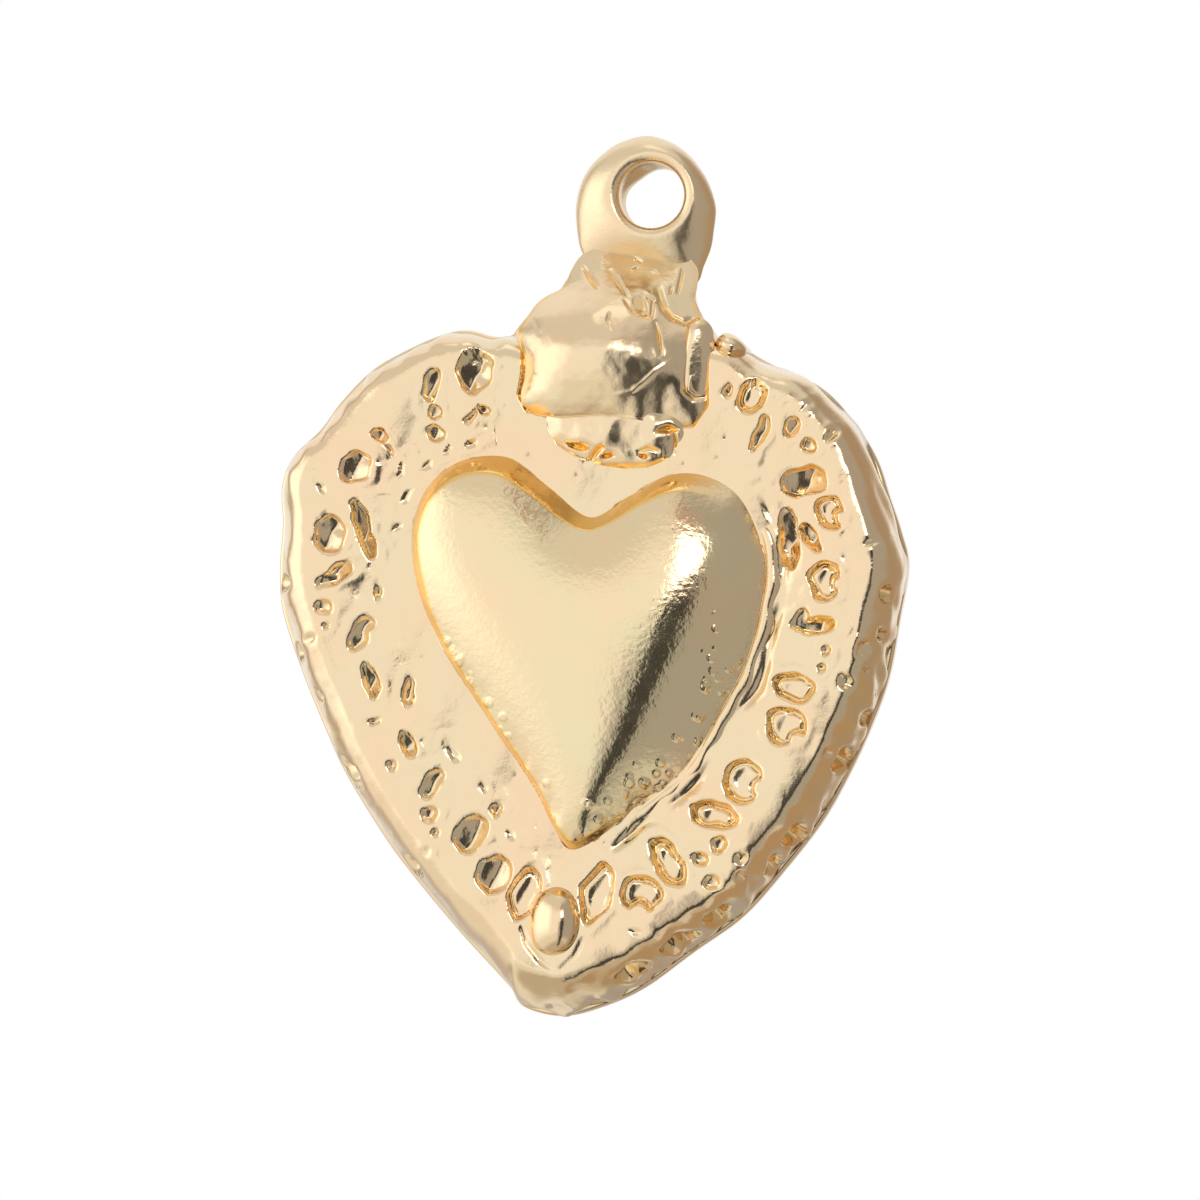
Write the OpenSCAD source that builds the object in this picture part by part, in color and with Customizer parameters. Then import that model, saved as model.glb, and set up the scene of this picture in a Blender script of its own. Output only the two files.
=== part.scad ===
// Heart-shaped votive pendant: a puffed heart in a pillow border on a flat back, with a flame
// finial over the cleft and a hanging eye. Sizes are millimetres.
// It hangs upright: X is to the right, Z is up, the front faces -Y, and the origin is the centre
// of the eye's hole. Pieces are drawn lying on their backs, then stood up by hang().

/* [Back plate] */
// Widest span of the heart, across its lobes
heart_w = 19.4; // [18:0.1:24]
// Height of the heart, from its tip to the top of its lobes
heart_h = 20.7; // [19:0.1:25]
// Offset of the heart's middle from the eye's hole, to the right
heart_shift = -0.8; // [-1.2:0.1:-0.4]
// Thickness of the back plate
plate_t = 0.6; // [0.4:0.05:1]
// How far the back plate stands out past the border's foot
plate_ledge = 0.1; // [0.05:0.05:0.3]

/* [Border] */
// Height of the border's crest above the back plate
border_h = 2.9; // [2.6:0.1:3.6]
// Height of the border's flank above the back plate, up to where it rounds over
flank_h = 2.3; // [1.6:0.1:2.4]
// How far the flank leans in on its way up
flank_lean = 0.3; // [0.2:0.05:0.6]
// Distance of the crest from the border's foot
crest_in = 0.9; // [0.8:0.1:1.5]
// Height of the valley round the dome, above the back plate
valley_h = 2.5; // [1.9:0.05:2.55]
// Width of the level floor of the valley
valley_w = 0.7; // [0.6:0.05:1]
// Sheet thickness of the border
border_wall = 0.5; // [0.3:0.05:0.7]

/* [Dome] */
// Width of the dome
dome_w = 10.9; // [9:0.1:12]
// Drop from the top of the heart's lobes to the top of the dome's
dome_drop = 3.9; // [3.6:0.1:4.4]
// Distance of the dome's tip from the heart's tip
dome_tip_up = 4.9; // [4.6:0.1:6]
// Offset of the dome's middle from the heart's, to the right
dome_shift = 0.2; // [-0.4:0.1:0.4]
// Rise of the dome above the valley
dome_rise = 2; // [1.2:0.1:3]
// Sheet thickness of the dome
dome_wall = 0.5; // [0.3:0.05:0.7]
// Width of the lip round the dome
bezel_w = 0.42; // [0.3:0.02:0.56]
// Height of the lip above the valley
bezel_h = 0.25; // [0.15:0.05:0.6]

/* [Eye] */
// Diameter of the eye's hole
eye_bore_d = 2; // [1.4:0.1:2.2]
// Outer diameter of the eye
eye_d = 4.3; // [4:0.1:5.4]
// Thickness of the eye, which is fully rounded at its rim
eye_t = 2; // [1.8:0.1:2.4]
// Chamfer at both ends of the hole
eye_chamfer = 0.25; // [0.1:0.05:0.35]
// Offset of the eye's outline from its hole, to the right
eye_off_x = -0.25; // [-0.4:0.05:0.4]
// Offset of the eye's outline from its hole, downwards
eye_off_y = 0.3; // [0:0.05:0.4]
// Width of the neck where it stands on the flame
neck_w = 3.6; // [3:0.1:4]
// Thickness of the neck and of its tang
neck_t = 1.4; // [1:0.1:1.8]
// Gap between the eye's rim and the flame, which the neck bridges
neck_gap = 0.1; // [0.05:0.05:1]
// Width of the tang that is let into the flame
tang_w = 2; // [1.4:0.1:2.6]
// Length of the tang
tang_l = 1.6; // [1:0.1:2.4]

/* [Flame] */
// Width of the flame's bulb in the border's notch
flame_w = 5.3; // [4.8:0.1:5.8]
// Offset of the bulb's middle from the eye's hole, to the right
flame_shift = -0.75; // [-1:0.05:-0.5]
// Height of the flame above the top of the heart's lobes
flame_up = 1.85; // [1.4:0.05:3]
// Depth of the flame below the top of the heart's lobes
flame_down = 2.5; // [2:0.1:2.7]
// Height of the flame's sides above the back plate, in the notch
flame_side_h = 2.6; // [2:0.1:3.2]
// Height of the flame's sides above the back plate, under the neck
flame_neck_h = 2; // [1.9:0.1:2.6]
// Height of the bulb's rounded top above the back plate
flame_h = 4.1; // [3.4:0.1:4.6]
// How far the flame's shoulders swell past a straight line from notch to neck
flame_swell = 0.2; // [0.1:0.05:0.3]
// Width of the leaf on the bulb's right
leaf_w = 0.6; // [0.5:0.05:0.8]
// How far the leaf stands up past the top of the heart's lobes
leaf_up = 0.4; // [0.2:0.1:0.8]
// Height of the leaf's rounded top above the back plate
leaf_h = 3.5; // [2.8:0.1:4]
// Width of the collar below the bulb, at its top
collar_w = 4.4; // [3.6:0.1:4.8]
// Width of the collar at its foot
collar_foot_w = 1.6; // [1:0.1:2.4]
// Length of the collar
collar_l = 1.7; // [1.2:0.1:1.8]
// Offset of the collar's middle from the eye's hole, to the right
collar_shift = 0; // [-0.4:0.05:0.2]
// Height of the collar's rounded top above the back plate
collar_h = 3.3; // [2.6:0.1:3.6]

/* [Beads] */
// Width of the oval bead at the tip
tip_bead_w = 1.7; // [1.2:0.1:2]
// Length of the oval bead at the tip
tip_bead_l = 2.1; // [1.6:0.1:2.4]
// Gap between the oval bead and the lip at the dome's tip
tip_bead_gap = 0.7; // [0.4:0.05:0.9]
// Height of the oval bead's rounded top above the back plate
tip_bead_h = 3.5; // [3.3:0.1:4.4]
// Diameter of the round bead on the right of the finial
side_bead_d = 0.9; // [0.7:0.05:1.1]
// Distance of the round bead from the notch in the border
side_bead_gap = 0.3; // [0.2:0.05:0.6]
// How far the round bead's middle lies below the top of the heart's lobes
side_bead_in = 0.3; // [0.2:0.05:0.5]
// Height of the round bead above the back plate
side_bead_h = 2.9; // [2:0.1:3.4]

/* [Fit] */
// Solder gap between pieces that fit side by side
seam = 0.04; // [0.02:0.01:0.08]

/* [Hidden] */

gold = [0.91, 0.77, 0.54];
deep_gold = [0.83, 0.66, 0.40];
pale_gold = [0.95, 0.85, 0.66];

// Facets of round pieces, samples on each stretch of a smooth outline and points on each edge
$fn = 64;
steps = 4;
edge_steps = 4;
// Rings of a puffed top, and where its flat crown begins, in degrees
puff_rings = 6;
crown_angle = 78;
// A length that carries a cut past any face
past = 1;

// Outline of the heart, as shares of its width from the middle and of its height from the tip,
// running from the cleft down the left side and up the right
heart_shares = [
    [0.02, 0.96], [-0.14, 0.985], [-0.25, 0.985], [-0.34, 0.948], [-0.425, 0.864], [-0.49, 0.763],
    [-0.5, 0.66], [-0.48, 0.545], [-0.42, 0.434], [-0.35, 0.323], [-0.253, 0.208], [-0.109, 0.081],
    [0.023, 0], [0.185, 0.077], [0.321, 0.198], [0.411, 0.332], [0.466, 0.463], [0.49, 0.6],
    [0.5, 0.72], [0.457, 0.818], [0.391, 0.917], [0.297, 0.979], [0.2, 1], [0.11, 0.98]
];
// Outline of the dome in the same way, point for point
dome_shares = [
    [-0.01, 0.84], [-0.1, 0.9], [-0.24, 0.962], [-0.365, 0.961], [-0.452, 0.912], [-0.492, 0.838],
    [-0.5, 0.747], [-0.466, 0.635], [-0.392, 0.501], [-0.289, 0.357], [-0.17, 0.202], [-0.053, 0.059],
    [0.046, 0], [0.143, 0.08], [0.255, 0.207], [0.368, 0.334], [0.448, 0.484], [0.493, 0.631],
    [0.5, 0.773], [0.474, 0.886], [0.416, 0.97], [0.327, 1], [0.22, 0.972], [0.11, 0.905]
];
tip_station = 12 * steps;
// Height of the dome's crown, as a share of the dome's outline from its tip
crown_share = 0.62;

// Levels, measured from the pendant's back
eye_mid_z = plate_t + neck_t / 2;
valley_z = plate_t + valley_h;

// Places of the main lines, measured from the eye's hole
neck_left = eye_off_x - neck_w / 2;
neck_right = eye_off_x + neck_w / 2;
flame_top_y = -(eye_off_y + eye_d / 2 + neck_gap);
lobes_y = flame_top_y - flame_up;
tip_y = lobes_y - heart_h;
dome_h = heart_h - dome_drop - dome_tip_up;
dome_tip_y = tip_y + dome_tip_up;
dome_x = heart_shift + dome_shift;
flame_foot_y = lobes_y - flame_down;
flame_left = flame_shift - flame_w / 2;
flame_right = flame_shift + flame_w / 2;
leaf_left = flame_right + seam;
leaf_right = leaf_left + leaf_w;
leaf_top_y = lobes_y + leaf_up;
collar_top_y = flame_foot_y - seam;
collar_foot_y = collar_top_y - collar_l;
side_bead_at = [leaf_right + side_bead_gap + side_bead_d / 2, lobes_y - side_bead_in];

function mix(a, b, t) = a + (b - a) * t;
function total(v) = v * [for (i = v) 1];
function middle(ring) = [for (k = [0:len(ring[0]) - 1]) total([for (p = ring) p[k]]) / len(ring)];
function at_height(outline, z) = [for (p = outline) [p.x, p.y, z]];
function placed(shares, w, h, x, y) = [for (s = shares) [x + s.x * w, y + s.y * h]];
function oval(at, w, l) = [for (i = [0:23]) at + [w / 2 * cos(i * 15), l / 2 * sin(i * 15)]];

// Point on a smooth curve from b to c at share t, with a and d as the neighbours
function between(a, b, c, d, t) =
    0.5 * (2 * b + (c - a) * t + (2 * a - 5 * b + 4 * c - d) * t * t
           + (3 * b - a - 3 * c + d) * t * t * t);
// Closed smooth curve through a list of points
function smooth(p) = let (n = len(p))
    [for (i = [0:n - 1], j = [0:steps - 1])
        between(p[(i + n - 1) % n], p[i], p[(i + 1) % n], p[(i + 2) % n], j / steps)];
// Straight path with more points on each of its edges, up to its last point
function finely(p) =
    [for (i = [0:len(p) - 2], j = [0:edge_steps - 1]) mix(p[i], p[i + 1], j / edge_steps)];

heart_line = smooth(placed(heart_shares, heart_w, heart_h, heart_shift, tip_y));
dome_line = smooth(placed(dome_shares, dome_w, dome_h, dome_x, dome_tip_y));
stations = len(heart_line);

// Point of the border's band, d in from the heart's outline towards the dome's at a station
function band_width(i) = norm(dome_line[i] - heart_line[i]);
function band_point(i, d) = mix(heart_line[i], dome_line[i], d / band_width(i));
tip_bead_at = band_point(tip_station,
    band_width(tip_station) - seam - bezel_w - tip_bead_gap - tip_bead_l / 2);

// Arc from a to b that swells past the straight line between them, up to its last point
function shoulder(a, b) = let (out = [b.y - a.y, a.x - b.x] / norm(b - a) * flame_swell)
    [for (j = [0:edge_steps - 1]) mix(a, b, j / edge_steps) + out * sin(180 * j / edge_steps)];

// Outlines of the finial's pieces
flame_line = concat(
    finely([[flame_left, lobes_y], [flame_left, flame_foot_y], [flame_right, flame_foot_y],
            [flame_right, leaf_top_y]]),
    shoulder([flame_right, leaf_top_y], [neck_right, flame_top_y]),
    finely([[neck_right, flame_top_y], [neck_left, flame_top_y]]),
    shoulder([neck_left, flame_top_y], [flame_left, lobes_y]));
function leaf_corners(left) = [[left, flame_foot_y], [leaf_right, flame_foot_y],
                               [leaf_right, lobes_y], [left, leaf_top_y]];
function collar_corners(gap) = let (top = collar_w / 2 + gap, foot = collar_foot_w / 2 + gap)
    [[collar_shift - top, collar_top_y], [collar_shift - foot, collar_foot_y - gap],
     [collar_shift + foot, collar_foot_y - gap], [collar_shift + top, collar_top_y]];

// Closed skin over rings of equal length: looped back to the first ring, or capped at both ends
module skin(rings, looped = false) {
    n = len(rings[0]);
    m = len(rings);
    walls = [for (r = [0:looped ? m - 1 : m - 2], i = [0:n - 1])
        let (j = (i + 1) % n, low = r * n, high = (r + 1) % m * n)
        each [[low + i, high + j, low + j], [low + i, high + i, high + j]]];
    caps = [for (i = [0:n - 1])
        let (j = (i + 1) % n, top = (m - 1) * n)
        each [[m * n, i, j], [m * n + 1, top + j, top + i]]];
    corners = [for (r = rings) each r];
    if (looped)
        polyhedron(points = corners, faces = walls);
    else
        polyhedron(points = concat(corners, [middle(rings[0]), middle(rings[m - 1])]),
                   faces = concat(walls, caps));
}

// Rings of a puffed top over a rim: a quarter ellipse that closes in on a centre
function puffed(rim, centre, top_z) = [for (k = [0:puff_rings])
    let (a = crown_angle * k / puff_rings)
    [for (p = rim)
        let (q = mix(centre, [p.x, p.y], cos(a)))
        [q.x, q.y, mix(p.z, top_z, sin(a) / sin(crown_angle))]]];

// Post on the back plate with straight sides up to a rim and a puffed top
module post(rim, top_z) {
    foot = at_height(rim, plate_t);
    centre = middle(foot);
    skin(concat([foot], puffed(rim, [centre.x, centre.y], top_z)));
}

// Stands a piece up, with the eye's hole at the origin
module hang() {
    rotate([90, 0, 0])
        translate([0, 0, -eye_mid_z])
            children();
}

// Flat back with a tab behind the finial and an ear under the round bead
module back_plate() {
    color(gold)
        hang()
            linear_extrude(plate_t) {
                polygon(heart_line);
                polygon(flame_line);
                polygon(leaf_corners(flame_right));
                translate(side_bead_at)
                    circle(d = side_bead_d + 2 * plate_ledge);
            }
}

// Section of the border at a station, as distance in from the heart's outline and height
function crest_d() = plate_ledge + crest_in;
function border_over(w) = concat(
    [[plate_ledge, 0]],
    [for (a = [0:22.5:90])
        [crest_d() - (crest_in - flank_lean) * cos(a), flank_h + (border_h - flank_h) * sin(a)]],
    [for (t = [0.25:0.25:1])
        [mix(crest_d(), w - seam - valley_w, t), mix(border_h, valley_h, (1 - cos(180 * t)) / 2)]],
    [[w - seam, valley_h]]);
function border_under(w) = concat(
    [[w - seam, valley_h - border_wall]],
    [for (t = [1:-0.25:0])
        [mix(crest_d(), w - seam - valley_w, t),
         mix(border_h, valley_h, (1 - cos(180 * t)) / 2) - border_wall]],
    [[plate_ledge + flank_lean + border_wall, flank_h - border_wall / 2],
     [plate_ledge + border_wall, 0]]);
function border_rings() =
    let (sections = [for (i = [0:stations - 1]) concat(border_over(band_width(i)), border_under(band_width(i)))])
    [for (k = [0:len(sections[0]) - 1])
        [for (i = [0:stations - 1])
            let (q = sections[i][k], p = band_point(i, q[0]))
            [p.x, p.y, plate_t + q[1]]]];

// Hollow frame round the dome, notched for the finial and opened for the two beads
module border_shell() {
    top_z = plate_t + border_h + past;
    color(gold)
        hang()
            difference() {
                skin(border_rings(), looped = true);
                linear_extrude(top_z) {
                    polygon(concat(
                        [[flame_left - seam, lobes_y + past], [flame_left - seam, collar_top_y]],
                        collar_corners(seam),
                        [[leaf_right + seam, collar_top_y], [leaf_right + seam, lobes_y + past]]));
                    polygon(oval(tip_bead_at, tip_bead_w + 2 * seam, tip_bead_l + 2 * seam));
                }
                translate(side_bead_at)
                    cylinder(d = side_bead_d + 2 * seam, h = top_z);
            }
}

// Puffed heart with a skirt that stands on the back plate inside the border
module heart_dome() {
    crown = [dome_x, dome_tip_y + crown_share * dome_h];
    inner_line = [for (p = dome_line) p + (crown - p) * dome_wall / norm(crown - p)];
    crown_z = valley_z + dome_rise;
    outer = concat([at_height(dome_line, plate_t)],
                   puffed(at_height(dome_line, valley_z), crown, crown_z));
    inner = concat([at_height(inner_line, plate_t)],
                   puffed(at_height(inner_line, valley_z - dome_wall), crown, crown_z - dome_wall));
    color(pale_gold)
        hang()
            skin(concat([for (k = [len(inner) - 1:-1:0]) inner[k]], outer));
}

// Half-round lip on the valley's floor, against the dome
module heart_bezel() {
    color(deep_gold)
        hang()
            skin([for (a = [0:30:180])
                    [for (i = [0:stations - 1])
                        let (p = band_point(i, band_width(i) - seam - bezel_w * (1 + cos(a)) / 2))
                        [p.x, p.y, valley_z + bezel_h * sin(a)]]],
                 looped = true);
}

// Body of the flame, with a slot in its back for the eye's tang
module flame_bulb() {
    rim = [for (p = flame_line)
        let (up = max(0, (p.y - lobes_y) / flame_up))
        [p.x, p.y, plate_t + mix(flame_side_h, flame_neck_h, up)]];
    color(pale_gold)
        hang()
            difference() {
                post(rim, plate_t + flame_h);
                translate([eye_off_x - tang_w / 2 - seam, flame_top_y - tang_l - seam, plate_t - past])
                    cube([tang_w + 2 * seam, tang_l + seam + past, past + neck_t + seam]);
            }
}

// Upright tongue on the right of the bulb
module flame_leaf() {
    corners = leaf_corners(leaf_left);
    line = finely(concat(corners, [corners[0]]));
    color(gold)
        hang()
            post(at_height(line, plate_t + leaf_h - leaf_w), plate_t + leaf_h);
}

// Tapering foot between the bulb and the dome's cleft
module cleft_collar() {
    corners = collar_corners(0);
    line = finely(concat(corners, [corners[0]]));
    color(deep_gold)
        hang()
            post(at_height(line, valley_z), plate_t + collar_h);
}

// Hanging eye with a rounded rim, its neck on the flame and a tang in the flame's slot
module bail_eye() {
    rim = eye_t / 2;
    rim_r = eye_d / 2 - rim;
    shoulder = eye_d / 2 * cos(30);
    color(gold)
        hang()
            difference() {
                union() {
                    translate([eye_off_x, -eye_off_y, eye_mid_z])
                        rotate_extrude() {
                            translate([0, -rim])
                                square([rim_r, eye_t]);
                            intersection() {
                                translate([rim_r, 0])
                                    circle(rim);
                                translate([0, -rim])
                                    square([eye_d, eye_t]);
                            }
                        }
                    translate([0, 0, plate_t])
                        linear_extrude(neck_t)
                            polygon([[neck_left, flame_top_y], [neck_right, flame_top_y],
                                     [eye_off_x + shoulder, -eye_off_y],
                                     [eye_off_x - shoulder, -eye_off_y]]);
                    translate([eye_off_x - tang_w / 2, flame_top_y - tang_l, plate_t])
                        cube([tang_w, tang_l + past, neck_t]);
                }
                translate([0, 0, eye_mid_z]) {
                    cylinder(d = eye_bore_d, h = eye_t + past, center = true);
                    for (side = [0, 180])
                        rotate([side, 0, 0])
                            translate([0, 0, eye_t / 2 - eye_chamfer])
                                cylinder(d1 = eye_bore_d, d2 = eye_bore_d + 2 * (eye_chamfer + past),
                                         h = eye_chamfer + past);
                }
            }
}

// Oval bead that stands through the border at the tip
module tip_bead() {
    top_z = plate_t + tip_bead_h;
    color(pale_gold)
        hang()
            post(at_height(oval(tip_bead_at, tip_bead_w, tip_bead_l), top_z - tip_bead_w / 2), top_z);
}

// Round bead in a recess of the border's edge
module side_bead() {
    color(pale_gold)
        hang()
            translate([side_bead_at.x, side_bead_at.y, plate_t]) {
                cylinder(d = side_bead_d, h = side_bead_h - side_bead_d / 2);
                translate([0, 0, side_bead_h - side_bead_d / 2])
                    sphere(d = side_bead_d);
            }
}

back_plate();
border_shell();
heart_dome();
heart_bezel();
flame_bulb();
flame_leaf();
cleft_collar();
bail_eye();
tip_bead();
side_bead();
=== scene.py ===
import math

import bpy
import numpy as np
from mathutils import Matrix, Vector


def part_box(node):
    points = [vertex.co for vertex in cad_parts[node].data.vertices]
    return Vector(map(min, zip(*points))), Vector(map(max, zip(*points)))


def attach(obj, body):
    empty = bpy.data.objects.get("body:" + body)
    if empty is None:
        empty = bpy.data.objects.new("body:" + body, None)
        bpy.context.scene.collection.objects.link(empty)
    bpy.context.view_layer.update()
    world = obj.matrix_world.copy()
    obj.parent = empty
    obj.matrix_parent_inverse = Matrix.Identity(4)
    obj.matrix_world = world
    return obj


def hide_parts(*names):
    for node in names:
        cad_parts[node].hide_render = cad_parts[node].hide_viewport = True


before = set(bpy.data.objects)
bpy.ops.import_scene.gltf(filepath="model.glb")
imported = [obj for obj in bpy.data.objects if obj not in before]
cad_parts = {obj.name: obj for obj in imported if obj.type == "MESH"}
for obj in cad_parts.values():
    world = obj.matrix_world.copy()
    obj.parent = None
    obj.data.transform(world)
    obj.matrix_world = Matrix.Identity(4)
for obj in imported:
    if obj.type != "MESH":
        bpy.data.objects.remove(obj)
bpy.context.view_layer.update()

mm = 0.001

# Camera: where the photograph was taken from, and what a photograph pixel measures on the pendant
view = {
    "pixelSize": 0.0305,          # mm on the pendant for one photograph pixel
    "imageSize": 1200,            # pixels across the photograph
    "holePixel": (654.5, 197.5),  # the eye's hole in the photograph
    "yaw": 8.0,                   # degrees from the pendant's right
    "pitch": -3.0,                # degrees, from a little below
    "roll": 6.5,                  # degrees that the pendant leans clockwise in the picture
    "distance": 400.0,            # mm from the pendant
}


def viewAxes():
    # right, up and towards-the-camera axes of the picture, in the pendant's own frame
    yaw, pitch, roll = (math.radians(view[k]) for k in ("yaw", "pitch", "roll"))
    back = np.array([math.sin(yaw) * math.cos(pitch), -math.cos(yaw) * math.cos(pitch), math.sin(pitch)])
    level = np.array([math.cos(yaw), math.sin(yaw), 0.0])
    rise = np.cross(back, level)
    right = level * math.cos(roll) + rise * math.sin(roll)
    up = rise * math.cos(roll) - level * math.sin(roll)
    return right, up, back


picRight, picUp, picBack = viewAxes()
picMiddle = view["imageSize"] / 2
holeX, holeY = view["holePixel"]
aimPoint = (picRight * (picMiddle - holeX) + picUp * (holeY - picMiddle)) * view["pixelSize"]
cameraPoint = aimPoint + picBack * view["distance"]


def makeCamera():
    data = bpy.data.cameras.new("camera")
    data.sensor_fit = 'HORIZONTAL'
    data.sensor_width = 36.0
    data.lens = data.sensor_width * view["distance"] / (view["imageSize"] * view["pixelSize"])
    data.clip_start = 0.01
    data.clip_end = 10.0
    cam = bpy.data.objects.new("camera", data)
    place = np.eye(4)
    place[:3] = np.column_stack([picRight, picUp, picBack, cameraPoint * mm])
    cam.matrix_world = Matrix(place.tolist())
    bpy.context.scene.collection.objects.link(cam)
    bpy.context.scene.camera = cam


makeCamera()
print("camera placed")

# Levels of the frame, as heights in mm above the pendant's back
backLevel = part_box("back_plate")[1].y / mm


def topOf(node):
    # height of a node's front above the pendant's back
    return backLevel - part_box(node)[0].y / mm


levels = {
    "plate": topOf("back_plate"),
    "border": topOf("border_shell"),
    "dome": topOf("heart_dome"),
    "bezel": topOf("heart_bezel"),
    "flame": topOf("flame_bulb"),
    "leaf": topOf("flame_leaf"),
    "collar": topOf("cleft_collar"),
    "eye": topOf("bail_eye"),
    "tipBead": topOf("tip_bead"),
    "sideBead": topOf("side_bead"),
    "valley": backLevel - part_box("heart_bezel")[1].y / mm,
    "eyeBack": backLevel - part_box("bail_eye")[1].y / mm,
}


def toWorld(x, y, height):
    # pendant x, y and height above the back, in mm, to the frame's X, Y and Z in mm
    return np.stack(np.broadcast_arrays(x, backLevel - height, y), axis=-1)


def fromPhoto(pixels, height):
    # follows each pixel's ray from the camera to the plane at this height above the pendant's back
    offset = (np.asarray(pixels, float) - picMiddle) * view["pixelSize"]
    ray = picRight * offset[..., :1] - picUp * offset[..., 1:] - picBack * view["distance"]
    reach = (backLevel - height - cameraPoint[1]) / ray[..., 1:2]
    return (cameraPoint + ray * reach)[..., [0, 2]]


def toPhoto(points):
    # the photograph's pixels that points in the frame fall on
    seen = points - cameraPoint
    scale = view["distance"] / view["pixelSize"] / -(seen @ picBack)
    return picMiddle + (seen @ picRight) * scale, picMiddle - (seen @ picUp) * scale


def smoothStep(t):
    t = np.clip(t, 0.0, 1.0)
    return t * t * t * (t * (6 * t - 15) + 10)


curveSteps = 30  # points on each span of the heart's and the dome's outline
evenSteps = 24   # and of the other outlines


def closedCurve(points, perSpan):
    # smooth closed curve through the points: a cubic on each span that leaves and arrives
    # along the line between the neighbours
    p = np.asarray(points, float)
    a, b, c, d = (np.roll(p, k, axis=0)[:, None] for k in (1, 0, -1, -2))
    t = (np.arange(perSpan) / perSpan)[None, :, None]
    curve = 0.5 * (2 * b + (c - a) * t + (2 * a - 5 * b + 4 * c - d) * t ** 2
                   + (3 * b - a - 3 * c + d) * t ** 3)
    return curve.reshape(-1, 2)


def alongKeys(curve, keys, share):
    # spreads stations along a closed curve so that each key point falls at its share of them,
    # evenly by arc length in between
    closed = np.vstack([curve, curve[:1]])
    run = np.concatenate([[0.0], np.cumsum(np.linalg.norm(np.diff(closed, axis=0), axis=1))])
    at = np.interp(share, np.linspace(0, 1, len(keys) + 1), np.append(run[keys], run[-1]))
    return np.stack([np.interp(at, run, closed[:, k]) for k in (0, 1)], axis=-1)


def evenCurve(pixels, height, count):
    # smooth closed curve through the photograph's pixels at one height, at even steps
    curve = closedCurve(fromPhoto(pixels, height), evenSteps)
    return alongKeys(curve, [0], np.arange(count) / count)


def outward(line):
    # unit vectors that point out of a closed line which runs round by the left
    along = np.roll(line, -1, axis=0) - np.roll(line, 1, axis=0)
    along = along / np.linalg.norm(along, axis=1, keepdims=True)
    return np.column_stack([along[:, 1], -along[:, 0]])


def facingShare(line, turn):
    # how far each point of a closed line faces this many degrees from the right: its cosine squared
    turn = math.radians(turn)
    return np.clip(outward(line) @ (math.cos(turn), math.sin(turn)), 0, 1) ** 2


def soften(values, reach):
    # average of a closed run of values over this many neighbours on each side
    ring = np.concatenate([values[-reach:], values, values[:reach]])
    return np.convolve(ring, np.full(2 * reach + 1, 1 / (2 * reach + 1)), 'valid')


def edgeDistance(x, y, line):
    # soft distance to an outline: pi over the sum of its steps divided by distance squared, to which a
    # tenth of the step squared is added, so that it stays finite on the outline
    nextPoint = np.roll(line, -1, axis=0)
    step = np.linalg.norm(nextPoint - line, axis=1)
    total = np.zeros(np.shape(x))
    for (mx, my), ds in zip((line + nextPoint) / 2, step):
        total += ds / ((x - mx) ** 2 + (y - my) ** 2 + ds * ds / 10)
    return math.pi / total


rippleLook = {
    "waves": 9,            # plane waves in the sum
    "spread": (0.6, 0.8),  # share of the plain wave number that each has at least, and at most besides
    "level": 4,            # what the sum is divided by
}


def ripple(x, y, wave, seed):
    # gentle unevenness between about -1 and 1: a sum of plane waves in seeded directions
    rng = np.random.default_rng(seed)
    total = np.zeros(np.shape(x))
    least, more = rippleLook["spread"]
    for turn, phase, stretch in rng.uniform(0, 1, (rippleLook["waves"], 3)):
        turn, phase = turn * 2 * math.pi, phase * 2 * math.pi
        k = 2 * math.pi / wave * (least + more * stretch)
        total += np.sin(k * (x * math.cos(turn) + y * math.sin(turn)) + phase)
    return total / rippleLook["level"]


def pathDistance(px, py, path):
    # distance in mm from picture points to a path of straight stretches, and how far along it they are
    nearest = np.full(np.shape(px), 1e9)
    along = np.zeros(np.shape(px))
    for k, ((ax, ay), (bx, by)) in enumerate(zip(path[:-1], path[1:])):
        lx, ly = bx - ax, by - ay
        t = np.clip(((px - ax) * lx + (py - ay) * ly) / (lx * lx + ly * ly), 0, 1)
        far = np.hypot(px - ax - t * lx, py - ay - t * ly)
        along = np.where(far < nearest, (k + t) / (len(path) - 1), along)
        nearest = np.minimum(nearest, far)
    return nearest * view["pixelSize"], along


def insideDistance(px, py, path):
    # distance in mm to a closed path, positive inside it and negative outside
    inside = np.zeros(np.shape(px), bool)
    ends = path[1:] + path[:1]
    for (ax, ay), (bx, by) in zip(path, ends):
        if ay != by:
            inside ^= ((ay > py) != (by > py)) & (px < (bx - ax) * (py - ay) / (by - ay) + ax)
    return pathDistance(px, py, path + path[:1])[0] * np.where(inside, 1, -1)


grooveTaper = 0.6  # power of the way in which a groove tapers to its ends


def grooveDepth(px, py, grooves):
    # depth of tooled grooves: each falls off from its path as a bell of its own width and tapers to its ends
    total = np.zeros(np.shape(px))
    for path, width, depth in grooves:
        far, along = pathDistance(px, py, path)
        total += depth * (4 * along * (1 - along)) ** grooveTaper * np.exp(-(far / width) ** 2)
    return total


def dentDepth(px, py, dents):
    # depth of broad dents: each falls off from its place as a bell
    total = np.zeros(np.shape(px))
    for x, y, reach, depth in dents:
        total += depth * np.exp(-((px - x) ** 2 + (py - y) ** 2) / reach ** 2)
    return total


def shareTowards(xy, turn, start, end):
    # eases from 0 to 1 over this stretch of pixels from the dome's middle, in the direction that is
    # turned this many degrees below the right
    px, py = toPhoto(toWorld(xy[..., 0], xy[..., 1], levels["valley"]))
    turn = math.radians(turn)
    reach = (px - dome["centre"][0]) * math.cos(turn) + (py - dome["centre"][1]) * math.sin(turn)
    return smoothStep((reach - start) / (end - start))


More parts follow.
